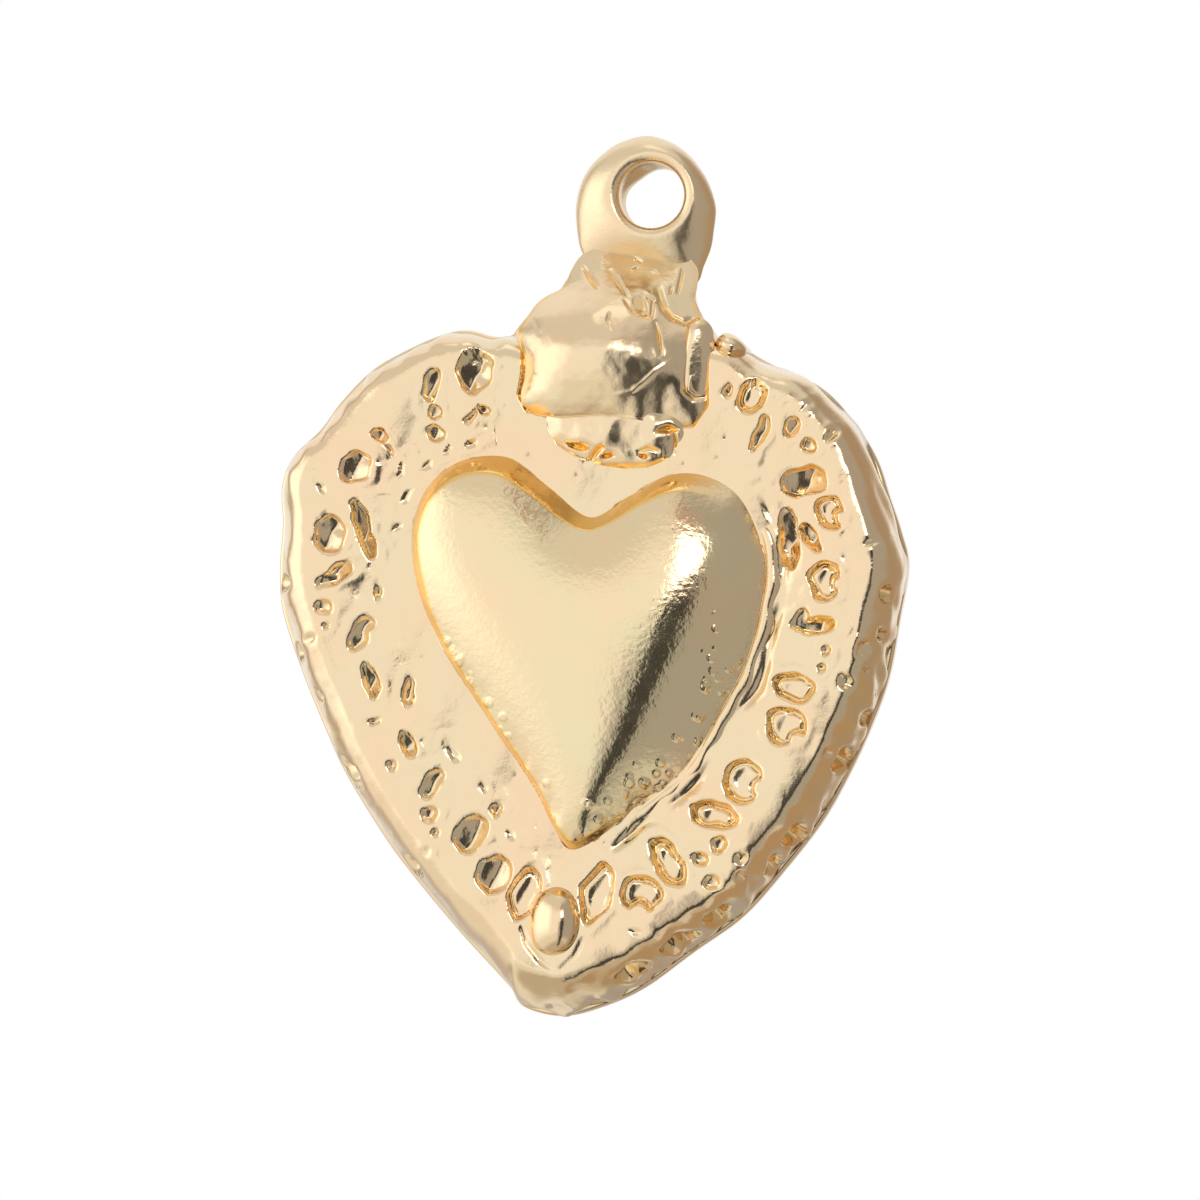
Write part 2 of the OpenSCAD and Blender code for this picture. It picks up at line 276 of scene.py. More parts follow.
def makeMesh(name, grid, looped, paintedReflection):
    # skin over a grid of rows that close round; the rows loop back to the first, or the first
    # and last row each shrink to one point. Faces are turned outwards by the enclosed volume. The painted
    # reflection is a share for each point, 1 where the deep gold painted for light bouncing in creases is
    # full.
    rows, cols = grid.shape[:2]
    i = np.arange(cols)
    j = (i + 1) % cols
    if looped:
        verts = grid.reshape(-1, 3)
        deep = paintedReflection.ravel()
        ring = np.arange(rows) * cols
        low, high = ring[:, None], np.roll(ring, -1)[:, None]
        tris = np.zeros((0, 3), int)
    else:
        inner = grid[1:-1]
        verts = np.vstack([inner.reshape(-1, 3), grid[0].mean(0), grid[-1].mean(0)])
        deep = np.append(paintedReflection[1:-1].ravel(), [paintedReflection[0].mean(), paintedReflection[-1].mean()])
        ring = np.arange(rows - 2) * cols
        low, high = ring[:-1, None], ring[1:, None]
        first, last = len(verts) - 2, len(verts) - 1
        tris = np.vstack([np.column_stack([np.full(cols, first), i, j]),
                          np.column_stack([np.full(cols, last), ring[-1] + j, ring[-1] + i])])
    quads = np.stack(np.broadcast_arrays(low + i, high + i, high + j, low + j), axis=-1).reshape(-1, 4)
    corner = verts[np.vstack([quads[:, [0, 1, 2]], quads[:, [0, 2, 3]], tris])]
    if np.einsum("ij,ij->", corner[:, 0], np.cross(corner[:, 1], corner[:, 2])) < 0:
        quads, tris = quads[:, ::-1], tris[:, ::-1]
    mesh = bpy.data.meshes.new(name)
    mesh.vertices.add(len(verts))
    mesh.vertices.foreach_set("co", (verts * mm).astype(np.float32).ravel())
    mesh.loops.add(quads.size + tris.size)
    mesh.loops.foreach_set("vertex_index", np.concatenate([quads.ravel(), tris.ravel()]).astype(np.int32))
    sizes = np.concatenate([np.full(len(quads), 4), np.full(len(tris), 3)])
    mesh.polygons.add(len(sizes))
    mesh.polygons.foreach_set("loop_start", (np.cumsum(sizes) - sizes).astype(np.int32))
    mesh.polygons.foreach_set("use_smooth", np.ones(len(sizes), bool))
    mesh.update(calc_edges=True)
    mesh.validate()
    # the painted reflection share, stored for the gold finish to read
    layer = mesh.attributes.new("paintedReflection", 'FLOAT', 'POINT')
    layer.data.foreach_set("value", deep.astype(np.float32))
    ob = bpy.data.objects.new(name, mesh)
    bpy.context.scene.collection.objects.link(ob)
    return ob


def dress(name, grid, looped, node, material, paintedReflection=0.0):
    # makes a piece, lets it stand for its CAD node and gives it its finish; the share of painted crease
    # reflection is given for the grid's first rows, and the rows after them are hidden
    deep = np.zeros(grid.shape[:2])
    deep[:len(np.atleast_2d(paintedReflection))] = paintedReflection
    ob = makeMesh(name, grid, looped, deep)
    ob.data.materials.append(material)
    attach(ob, "root")
    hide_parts(node)
    print(name, "made")


def surfaceNormals(grid):
    # unit normals of a grid that closes round along its columns, on its front side
    alongCols = np.roll(grid, -1, axis=1) - np.roll(grid, 1, axis=1)
    alongRows = np.gradient(grid, axis=0)
    n = np.cross(alongCols, alongRows)
    n /= np.maximum(np.linalg.norm(n, axis=-1, keepdims=True), 1e-9)
    return n * -np.sign(n[..., 1].mean())


def polarPoints(centre, line, rows, crowd=1.0):
    # points of a disc of any outline: shares of the way from the centre to the outline,
    # crowded towards the outline by this power
    r = 1 - (1 - np.linspace(0, 1, rows)) ** crowd
    return centre + (line - centre) * r[:, None, None]


skirtShare = 0.84  # size of a skirt's foot, as a share of its outline


def dressCap(name, xy, h, node, material, paintedReflection=0.0, upright=None):
    # dresses a cap that stands on the back plate: its front, a side that goes straight down where that is
    # given, a skirt that leans in from its outline, and its flat underside
    foot = levels["plate"]
    top = toWorld(xy[..., 0], xy[..., 1], h)
    if upright is not None:
        top = np.concatenate([top, toWorld(xy[-1:, :, 0], xy[-1:, :, 1], h[-1:] - upright)])
    edge = xy[:1] + (xy[-1:] - xy[:1]) * skirtShare
    skirt = toWorld(edge[..., 0], edge[..., 1], foot)
    base = np.broadcast_to(toWorld(xy[0, 0, 0], xy[0, 0, 1], foot), skirt.shape)
    dress(name, np.concatenate([top, skirt, base]), False, node, material, paintedReflection)


def colourSocket(sockets, name):
    # the colour socket of this name, since a Mix node has one of each kind
    return next(s for s in sockets if s.name == name and s.type == 'RGBA')


# Finish: pale gold plate, a little uneven in colour, with a fine orange peel, and a painted reflection: deep
# gold mixed in where the mesh's share says light would bounce in creases
def makeGold(name, look):
    mat = bpy.data.materials.new(name)
    mat.use_nodes = True
    tree = mat.node_tree
    nodes, links = tree.nodes, tree.links
    shader = nodes["Principled BSDF"]
    shader.inputs["Metallic"].default_value = 1.0
    place = nodes.new("ShaderNodeTexCoord")

    def noise(size, detail):
        n = nodes.new("ShaderNodeTexNoise")
        n.inputs["Scale"].default_value = 1 / (size * mm)
        n.inputs["Detail"].default_value = detail
        links.new(place.outputs["Object"], n.inputs["Vector"])
        return n.outputs["Fac"]

    tint = nodes.new("ShaderNodeValToRGB")
    for stop, at, color in zip(tint.color_ramp.elements, look["tintSpan"], (look["cool"], look["warm"])):
        stop.position = at
        stop.color = (*color, 1)
    links.new(noise(look["patch"], look["tintDetail"]), tint.inputs["Fac"])
    # painted reflection: the mesh's share mixes in a deep gold that stands in for light bouncing between the
    # walls of creases
    paintedReflection = nodes.new("ShaderNodeAttribute")
    paintedReflection.attribute_name = "paintedReflection"
    reflectionMix = nodes.new("ShaderNodeMix")
    reflectionMix.data_type = 'RGBA'
    colourSocket(reflectionMix.inputs, "B").default_value = (*look["deep"], 1)
    links.new(paintedReflection.outputs["Fac"], reflectionMix.inputs["Factor"])
    links.new(tint.outputs["Color"], colourSocket(reflectionMix.inputs, "A"))
    links.new(colourSocket(reflectionMix.outputs, "Result"), shader.inputs["Base Color"])

    gloss = nodes.new("ShaderNodeMapRange")
    for key, values in (("From", look["roughSpan"]), ("To", look["rough"])):
        gloss.inputs[key + " Min"].default_value = values[0]
        gloss.inputs[key + " Max"].default_value = values[1]
    links.new(noise(look["patch"] / look["roughParts"], look["roughDetail"]), gloss.inputs["Value"])
    links.new(gloss.outputs["Result"], shader.inputs["Roughness"])

    under = None
    for size, depth in look["peel"]:
        peel = nodes.new("ShaderNodeBump")
        peel.inputs["Strength"].default_value = 1.0
        peel.inputs["Distance"].default_value = depth * mm
        links.new(noise(size, look["peelDetail"]), peel.inputs["Height"])
        if under is not None:
            links.new(under, peel.inputs["Normal"])
        under = peel.outputs["Normal"]
    links.new(under, shader.inputs["Normal"])
    return mat


goldLook = {
    "cool": (0.88, 0.72, 0.47),
    "warm": (0.93, 0.70, 0.45),
    "deep": (0.94, 0.60, 0.20),              # painted reflection in the creases: the saturated gold of light bouncing between their walls
    "patch": 2.6,                            # mm across a patch of one tint
    "tintSpan": (0.35, 0.65),                # noise over which the tint goes from cool to warm
    "tintDetail": 3.0,
    "rough": (0.10, 0.18),
    "roughSpan": (0.3, 0.7),                 # noise over which the roughness changes
    "roughParts": 3,                         # patches of one roughness across a patch of tint
    "roughDetail": 4.0,
    "peel": [(0.10, 0.004), (0.34, 0.009)],  # orange peel: mm across a grain and its depth in mm
    "peelDetail": 2.0,
}
domeLook = dict(goldLook, cool=(0.87, 0.74, 0.46), warm=(0.94, 0.72, 0.45),
                peel=[(0.13, 0.008), (0.3, 0.012)])
flameLook = dict(goldLook, rough=(0.14, 0.24))
eyeLook = dict(goldLook, rough=(0.20, 0.30))
plateLook = dict(goldLook, peel=[(0.34, 0.004)])
borderGold = makeGold("border_gold", goldLook)
domeGold = makeGold("dome_gold", domeLook)
flameGold = makeGold("flame_gold", flameLook)
eyeGold = makeGold("eye_gold", eyeLook)
beadGold = makeGold("bead_gold", goldLook)
plateGold = makeGold("plate_gold", plateLook)
print("finishes made")

# Outline of the heart in the photograph, from the cleft under the flame down the left side and up
# the right. The keys are the cleft, the lobes' tops, the widest points and the tip.
heart = {
    "pixels": [(602, 350), (540, 342), (512, 336), (494, 337), (470, 331), (444, 335), (405, 352),
               (372, 372), (342, 403), (322, 430), (294, 458), (283, 488), (284, 525), (281, 568),
               (284, 612), (303, 671), (324, 723), (346, 772), (381, 830), (408, 868), (459, 930),
               (510, 986), (525, 1007), (563, 1016), (605, 1006), (646, 987), (694, 952), (744, 916),
               (787, 868), (824, 820), (851, 772), (873, 724), (890, 676), (901, 616), (909, 566),
               (902, 532), (890, 496), (878, 460), (856, 424), (822, 388), (771, 364), (741, 347),
               (716, 340), (660, 346)],
    "keys": [0, 4, 13, 23, 34, 40],
}
# Outline of the dome in the same way, and its make-up
dome = {
    "pixels": [(592, 518), (553, 490), (515, 461), (482, 457), (450, 468), (424, 496), (413, 540),
               (421, 595), (447, 653), (491, 722), (534, 786), (557, 832), (573, 850), (600, 838),
               (641, 806), (685, 770), (721, 711), (750, 652), (766, 575), (759, 531), (740, 497),
               (707, 477), (670, 476), (630, 497)],
    "keys": [0, 3, 6, 12, 18, 21],
    "centre": (590, 640),
    "columns": 800,
    "rows": 118,
    "crowd": 1.3,         # rows stand closer near the rim
    "base": 0.15,         # mm above the valley where the dome starts
    "leftBase": 0.15,     # mm more on the left and above
    "rightBase": (25, 60, 120),   # where the right is: degrees below the right, and pixels from the middle
    "upright": 0.3,       # mm that its side goes straight down
    "wallRise": 0.45,     # mm that the rim stands up before the dome rounds over
    "wallWidth": 0.27,    # mm that the rim takes
    "wallBow": 1.15,      # power of its rounding
    "puff": 3,            # the pillow is fuller than a cone, more is nearer to one
    "topRise": 0.22,      # mm more that it rises at the top
    "topWidth": 0.22,     # mm more that it takes there
    "top": (-90, 0, 160),       # where the top is, in the same way
    "wallEnd": (14, 20, 110),   # where the rim ends on the right, in the same way
    "worn": (130, 50, 110),     # where the rim is worn in places, in the same way
    "creaseFade": 0.12,         # mm over which the rim's painted deep-gold reflection ends
    "wornShare": 0.4,           # share of the rim's width that is missing there
    "wornWave": (1.1, 33),      # mm long, seed
    "wornDepth": 0.09,          # mm
    "wornLevel": 0.4,           # more is worn in more places
    "lowRight": (25, 80, 112),  # where the bezel and its groove begin, in the same way
    # small plating blisters: paths in the photograph, how many, how far they stray (pixels)
    "blisterPaths": [([(436, 640), (456, 672), (504, 745), (552, 822)], 70, 14),
                     ([(700, 660), (735, 690), (690, 755), (640, 800), (600, 815)], 80, 38)],
    "blisterSize": (0.07, 0.16),   # mm radius
    "blisterRise": 0.26,           # share of its radius that a blister stands up
    "blisterEdge": (1.15, 0.45),   # radii at which it ends, and over which it rises
    "blisterSeed": 5,
}
# Outlines of the finial: the flame's bulb, the leaf on its right and the collar below
flame = {
    "pixels": [(640, 246), (606, 246), (583, 254), (572, 268), (566, 281), (560, 289), (546, 296),
               (536, 304), (527, 317), (518, 332), (521, 350), (521, 374), (517, 396), (525, 411),
               (553, 417), (590, 416), (634, 419), (665, 427), (695, 426), (709, 405),
               (708, 380), (709, 355), (710, 330), (700, 314), (695, 300), (697, 285), (698, 271),
               (691, 260), (672, 250)],
    "centre": (610, 350),
    "columns": 480,
    "rows": 96,
    "crowd": 1.4,
    "rim": 3.36,               # mm above the back where the bulb meets the border
    "neckRim": 1.75,           # and where it runs into the eye
    "neckShare": 0.22,         # share of its swelling that it has there
    "creaseWidth": 0.22,       # mm of painted deep-gold reflection along its edge
    "creaseDepth": 0.13,       # mm, depth of a groove whose painted reflection is full
    "creaseShare": 0.6,        # and how strong that painted reflection is there
    "blend": 0.35,             # mm, softness of the way into the eye's ring
    "blendReach": 0.9,         # mm from its edge over which that grows
    "footRim": 3.85,           # and where it meets the collar
    "footPixels": (330, 425, 515, 560, 630, 670),  # rows and columns over which it rises to that
    "neckPixels": (238, 364),  # rows of the photograph over which it swells from neck to bulb
    "bow": 1.25,               # power of its rounding: 1 is a paraboloid, more is flatter in the middle
    # tooled grooves in the photograph: path, width in mm, depth in mm (below zero a ridge)
    "grooves": [([(582, 265), (590, 277), (599, 289)], 0.08, 0.10),
                ([(634, 258), (642, 263)], 0.06, 0.10),
                ([(630, 271), (640, 267)], 0.05, 0.08),
                ([(610, 269), (620, 284), (628, 299)], 0.06, 0.07),
                ([(609, 312), (607, 320), (612, 330)], 0.05, 0.07),
                ([(682, 267), (679, 281), (676, 294)], 0.05, 0.09),
                ([(670, 285), (669, 293)], 0.05, 0.06),
                ([(656, 284), (659, 298), (663, 308), (671, 317), (682, 322), (694, 319)], 0.10, 0.18),
                ([(622, 296), (632, 310), (650, 316), (652, 300), (640, 292)], 0.06, 0.10),
                ([(653, 319), (657, 335), (658, 344), (660, 355)], 0.06, 0.14),
                ([(689, 328), (688, 356), (685, 377), (684, 390), (692, 397), (706, 397)], 0.07, 0.14),
                ([(612, 395), (631, 391), (644, 380), (653, 371), (673, 358)], 0.07, -0.04),
                ([(534, 318), (540, 336)], 0.06, 0.03),
                ([(522, 372), (541, 376)], 0.05, 0.03)],
    "rightFall": (580, 712, 0.6),  # from and to these columns it falls away to the right, by this many mm
    "dents": [(648, 398, 24, 0.10)],  # broad dents: place and reach in pixels, depth in mm
    "waves": [(1.1, 0.012, 12), (0.45, 0.004, 13)],  # unevenness: mm long, mm high, seed
    "footCrease": 0.8,         # share of the painted deep-gold reflection that its edge lacks over the collar
    # small recess beside the neck, in the same form as the border's marks
    "recess": [("stroke", 639, 305, 13, 8, 62)],
}
leaf = {
    "pixels": [(700, 318), (688, 324), (682, 345), (679, 368), (679, 388), (688, 399), (702, 401),
               (711, 388), (714, 366), (714, 342), (711, 326)],
    "centre": (698, 362),
    "columns": 200,
    "rows": 40,
    "crowd": 1.3,
    "rim": 3.3,            # mm above the back where it meets the border
    "rise": 0.42,          # share of the way to its CAD height
    "lean": -1.0,          # share of its height that it gains from left to right, below zero loses
    "creaseWidth": 0.14,   # mm of painted deep-gold reflection along its edge
    "creaseSide": (0.5, 2),  # that fades to the right: its step in the middle, and how fast it goes
}
collar = {
    "pixels": [(618, 388), (572, 390), (545, 405), (538, 427), (550, 449), (572, 463), (598, 470),
               (625, 475), (650, 474), (669, 466), (684, 450), (691, 428), (672, 400)],
    "centre": (616, 426),
    "columns": 320,
    "rows": 60,
    "crowd": 1.3,
    "rim": 3.15,          # mm above the back where it meets the border
    "bow": 0.7,           # power of its rounding
    "wave": (0.9, 0.03, 21),  # unevenness: mm long, mm high, seed
    "creaseWidth": 0.24,  # mm of painted deep-gold reflection along its edge
    "creaseDepth": 0.07,  # mm, depth of a cut whose painted reflection is full
    "grooves": [([(590, 462), (596, 452), (604, 445)], 0.08, 0.12),
                ([(674, 430), (676, 442), (675, 458)], 0.06, 0.12),
                ([(636, 452), (648, 448), (660, 452)], 0.07, 0.08)],
    "dents": [(632, 438, 16, 0.16), (560, 440, 12, 0.05)],
    # small pockets, in the same form as the border's marks
    "pockets": [("pocket", 577, 446, 15, 5, 18), ("pocket", 606, 456, 10, 4, 5),
                ("pocket", 643, 456, 8, 4, 0), ("pocket", 668, 430, 15, 5, -12)],
}
heartLine = closedCurve(fromPhoto(heart["pixels"], levels["plate"] / 2), curveSteps)
domeLine = closedCurve(fromPhoto(dome["pixels"], levels["valley"]), curveSteps)

# Punched marks of the border. Each kind has a depth, a moat inside its outline and a wall in mm. Its floor
# goes on down from the left at a slope, over a share of its half width, its ramp, and comes up again from
# a place between -1 at the left and 1 at the right. The power is its superoval's: 2 is an ellipse, more
# is squarer.
punchKinds = {
    # kind: depth, moat, wall, slope, ramp, place where it comes up, power
    "bowl": (0.06, 0.00, 0.10, 0.44, 1.1, 0.1, 2.2),
    "ring": (0.08, 0.12, 0.11, 0.40, 0.75, 0.85, 2.2),
    "hollow": (0.70, 0.00, 0.16, 0.10, 1.0, 0.0, 2.0),
    "chip": (0.05, 0.00, 0.08, 0.50, 1.2, 0.2, 2.6),
    "facet": (0.12, 0.08, 0.11, 0.34, 0.9, 0.4, 1.5),
    "dot": (0.09, 0.00, 0.08, 0.28, 1.2, 0.2, 2.0),
    "pocket": (0.14, 0.00, 0.12, 0.16, 1.1, 0.1, 2.0),
    "stroke": (0.02, 0.00, 0.10, 0.22, 1.3, 0.3, 2.0),
}
punches = {
    "moatAt": 0.08,       # mm inside the outline
    "moatWidth": 0.06,    # mm
    "lip": 0.02,          # mm of metal pushed up round a mark
    "lipWidth": 0.12,     # mm
    "leanTurn": 28,       # degrees below the right that the steep side of the V faces
    "notchShare": 0.45,   # radius of a notch, as a share of the mark's half width
    "around": 12,         # pixels round a mark that are worked out with it
    "stray": 1.5,         # pixels that outlines wander
    "strayWave": 22,      # pixels
    "straySeeds": (40, 41),
}
# Where each mark sits in the photograph: kind, x, y, half length, half width, turn clockwise, and
# for some the side (degrees clockwise from the right) where a round notch bites in
marks = [
    ("bowl", 475, 371, 23, 19, 95), ("chip", 432, 385, 20, 8, 97),
    ("dot", 435, 413, 9, 7, 90), ("bowl", 436, 433, 11, 10, 0),
    ("chip", 471, 417, 11, 4, -45), ("dot", 484, 410, 8, 6, 30),
    ("chip", 381, 436, 11, 7, 40), ("stroke", 389, 449, 11, 4, 55),
    ("bowl", 356, 467, 19, 15, -55), ("stroke", 322, 489, 9, 4, 60),
    ("bowl", 330, 534, 20, 16, 85), ("chip", 364, 529, 37, 8, 73),
    ("chip", 335, 575, 23, 8, -28), ("bowl", 324, 607, 10, 8, 0),
    ("dot", 327, 625, 4, 4, 0), ("dot", 311, 639, 5, 5, 0),
    ("chip", 379, 592, 8, 4, 90), ("chip", 361, 633, 21, 10, -62),
    ("chip", 371, 680, 21, 8, 72), ("chip", 409, 692, 17, 6, 98),
    ("chip", 375, 720, 9, 4, -20), ("chip", 408, 744, 17, 7, 68),
    ("stroke", 453, 753, 11, 5, 65), ("dot", 392, 765, 5, 5, 0),
    ("chip", 432, 784, 17, 9, -50), ("bowl", 430, 814, 10, 9, 0),
    ("dot", 435, 832, 6, 5, 90), ("dot", 427, 851, 4, 4, 0),
    ("chip", 497, 809, 8, 6, -45), ("stroke", 483, 788, 8, 4, 70),
    ("chip", 471, 834, 20, 15, -50), ("stroke", 511, 834, 7, 5, 45),
    ("bowl", 495, 874, 20, 18, -40), ("facet", 525, 893, 29, 17, -70),
    ("facet", 597, 893, 34, 17, -72), ("ring", 641, 893, 21, 18, 0, 95),
    ("ring", 668, 862, 27, 14, 60), ("stroke", 635, 931, 9, 4, 15),
    ("ring", 714, 814, 25, 13, 14), ("bowl", 719, 844, 10, 9, 0),
    ("dot", 700, 859, 9, 8, 0), ("dot", 712, 882, 8, 8, 0),
    ("dot", 741, 858, 7, 6, 90), ("dot", 739, 875, 6, 5, 90),
    ("ring", 743, 781, 22, 19, 105, 20), ("ring", 786, 726, 20, 19, 0, 52),
    ("ring", 794, 687, 22, 14, 18), ("dot", 826, 651, 6, 5, 90),
    ("dot", 822, 667, 6, 5, -30), ("dot", 863, 649, 8, 8, 0),
    ("dot", 867, 672, 5, 4, 90), ("dot", 846, 682, 9, 9, 0),
    ("chip", 813, 625, 25, 8, 2), ("chip", 801, 617, 10, 6, -40),
    ("ring", 825, 581, 20, 16, 95, 5), ("chip", 789, 539, 34, 10, 85),
    ("chip", 810, 537, 19, 7, 57), ("ring", 830, 512, 18, 14, 80, 25),
    ("chip", 804, 481, 25, 15, -10), ("dot", 809, 445, 9, 8, 70),
    ("chip", 792, 427, 11, 8, 95), ("dot", 831, 435, 6, 6, 0),
    ("stroke", 804, 407, 6, 3, -40), ("chip", 761, 433, 21, 7, -62),
    ("ring", 752, 397, 18, 13, 125), ("chip", 728, 391, 9, 5, -60),
    ("stroke", 870, 542, 10, 4, -12),
    ("stroke", 401, 470, 13, 4, -60), ("stroke", 407, 496, 14, 4, -62),
    ("stroke", 398, 528, 7, 4, -50), ("stroke", 471, 443, 12, 4, -20),
    ("stroke", 447, 450, 9, 4, -40), ("stroke", 427, 465, 13, 4, -45),
    ("hollow", 886, 594, 10, 7, 95), ("hollow", 883, 634, 8, 5, 95),
    ("dot", 827, 752, 6, 5, 90), ("hollow", 843, 760, 17, 9, -65),
    ("hollow", 866, 718, 12, 6, -68), ("hollow", 795, 836, 18, 9, -50),
    ("hollow", 773, 866, 15, 6, -55), ("hollow", 719, 917, 18, 9, -32),
    ("hollow", 680, 942, 26, 8, -30), ("hollow", 632, 972, 22, 7, -28),
    ("hollow", 283, 582, 12, 5, 88), ("hollow", 299, 652, 12, 5, 70),
    ("hollow", 318, 698, 12, 5, 68), ("hollow", 352, 770, 24, 5, 60),
    ("hollow", 412, 866, 18, 5, 50),
]


def punchDepth(px, py, rows):
    # depth in mm of marks at picture points: a superoval |u|^n + |w|^n = 1 with an uneven outline, whose
    # wall eases in and whose floor falls as an uneven V, with a notch where one is given, a bell-shaped
    # moat inside the outline and a lip outside it; also gives the moats' share, 1 along their middle, for
    # their painted reflection
    across, down = punches["straySeeds"]
    px = px + punches["stray"] * ripple(px, py, punches["strayWave"], across)
    py = py + punches["stray"] * ripple(px, py, punches["strayWave"], down)
    total = np.zeros(np.shape(px))
    tint = np.zeros(np.shape(px))
    lean = math.radians(punches["leanTurn"])
    for kind, x, y, long, wide, turn, *notch in rows:
        depth, moatDepth, wall, slope, ramp, upFrom, n = punchKinds[kind]
        reach = long + punches["around"]
        near = np.nonzero((np.abs(px - x) < reach) & (np.abs(py - y) < reach))
        dx, dy = px[near] - x, py[near] - y
        turn = math.radians(turn)
        c, s = math.cos(turn), math.sin(turn)
        u, w = (dx * c + dy * s) / long, (dy * c - dx * s) / wide
        inside = (1 - (np.abs(u) ** n + np.abs(w) ** n) ** (1 / n)) * wide
        for bite in np.radians(notch):
            far = np.hypot(dx - math.cos(bite) * wide, dy - math.sin(bite) * wide)
            inside = np.minimum(inside, far - wide * punches["notchShare"])
        inside = inside * view["pixelSize"]
        half = math.hypot(long * math.cos(lean - turn), wide * math.sin(lean - turn))
        side = np.clip((dx * math.cos(lean) + dy * math.sin(lean)) / half, -1, 1)
        vee = np.minimum(np.minimum(1 + side, ramp), ramp * (1 - side) / (1 - upFrom))
        floor = depth + slope * half * view["pixelSize"] * vee
        lip = punches["lip"] * np.exp(-(inside / punches["lipWidth"] + 1) ** 2)
        moat = np.exp(-((inside - punches["moatAt"]) / punches["moatWidth"]) ** 2)
        here = floor * smoothStep(inside / wall) + moatDepth * moat - lip
        total[near] = np.where(np.abs(here) > np.abs(total[near]), here, total[near])
        if moatDepth > 0:
            tint[near] = np.maximum(tint[near], moat)
    return total, tint


# Border: a pillow ring between the two outlines
border = {
    "stations": 1240,
    "flankRows": 18,        # rows of the grid up the flank
    "topRows": 58,          # and over the top
    "even": 22,             # stations on each side over which its foot and crest are evened out
    # mm of back plate left bare at the foot, and more on the lower right and on the left
    "ledge": (0.02, 0.08, 0.29),
    "ledgeWay": (-0.9, 0.44),   # direction of the left: its parts to the right and up
    # power of the flank's quarter superellipse, 2 is an ellipse; less on its rounder sides and at the tip
    "round": (2.7, -0.65, -0.95),
    "roundTurns": (-20, -147),  # degrees from the right, where its rounder sides are
    "leftPower": 3,         # how closely the lower left keeps to its turn
    "crest": 0.9,           # mm from the foot to the crest
    "lowCrest": -0.15,      # mm more towards the lower right, below zero less
    "tipCrest": 0.3,        # mm more at the tip
    "leftCrest": 0.2,       # mm more towards the lower left
    "lowTurn": -55,         # degrees, where the lower right is
    "tip": (555, 940),      # pixel near which the tip begins
    "tipSpan": 2.4,         # mm over which it does
    "tipLead": 0.3,         # share of that which lies above the pixel
    "roll": 0.06,           # mm that the top rolls off to the crest on the lower right
    "rollWidth": 0.5,       # mm over which it does
    "drop": (0.09, 0.17),   # mm from the crest down to the valley, and more on the right
    "dropEven": 70,         # stations over which that changes
    "tipRow": (573, 770),   # pixel below which there is less of it
    "tipReach": 1.6,        # mm
    "tipShare": 0.8,
    "slope": 2.2,           # mm that the way down takes
    "valley": 0.4,          # mm of valley floor beside the dome
    "waves": [(2.4, 0.040, 3), (1.1, 0.008, 7), (0.55, 0.002, 4)],  # unevenness: mm long, mm high, seed
    "flankWave": (1.3, 0.06, 17),  # more on the flank
    "notch": 1.3,           # mm that the top is let down for the finial
    "notchWall": 0.16,      # mm over which it goes down
    "notchLead": 0.1,       # share of that which lies outside the flame
    "collarNotch": 0.5,     # mm that it is let down for the collar
    "collarLag": 1.5,       # walls inside the collar where that begins
    "floor": 0.1,           # mm over the back plate that are always left
    "grooveAt": 0.55,       # mm from the dome to a groove outside the bezel
    "grooveWidth": 0.15,    # mm
    "groove": 0.15,         # mm deep, on the right
    "grooveStray": 0.1,     # mm that it wanders
    "strayWave": (2.2, 14),       # mm long, seed
    "breakWave": (1.6, 15),       # waves that break it, in the same form
    "breakDepth": (0.55, 0.6),    # share of its depth that is left in the middle, and that the waves change
    "breakLeast": 0.05,           # share that is always left
    "under": 0.08,          # mm that its inner edge goes in under the dome
    "underShare": 0.5,      # share of its width at which its underside ends
    "markEdge": 0.15,       # cosine to the camera from which the marks have their full depth
    "creaseFrom": 0.22,     # turn of a mark's wall, 1 less its cosine, from which its painted crease reflection is full
    "creaseColumns": (480, 660),  # columns of the photograph between which the painted deep-gold reflection changes
    "creaseShare": (0.3, 0.7),    # from this share to this one
    # tooled grooves and ridges round the tip bead and one round the dome's upper left, in the flame's form
    "grooves": [([(521, 924), (527, 944), (539, 960), (556, 973)], 0.07, 0.11),
                ([(586, 934), (575, 956), (557, 973)], 0.08, 0.06),
                ([(548, 958), (560, 985), (566, 1016), (570, 1040)], 0.32, -0.10),
                ([(398, 600), (396, 545), (404, 494), (428, 458), (462, 438), (510, 436)], 0.2, 0.014)],
    "specks": 60,           # small dents scattered over the top
    "speckRows": (20, 70),  # rows of the grid that have them
    "speckSeed": 6,
    "speckSize": (0.06, 0.16),   # mm radius
    "speckDepth": (0.01, 0.03),  # mm
}


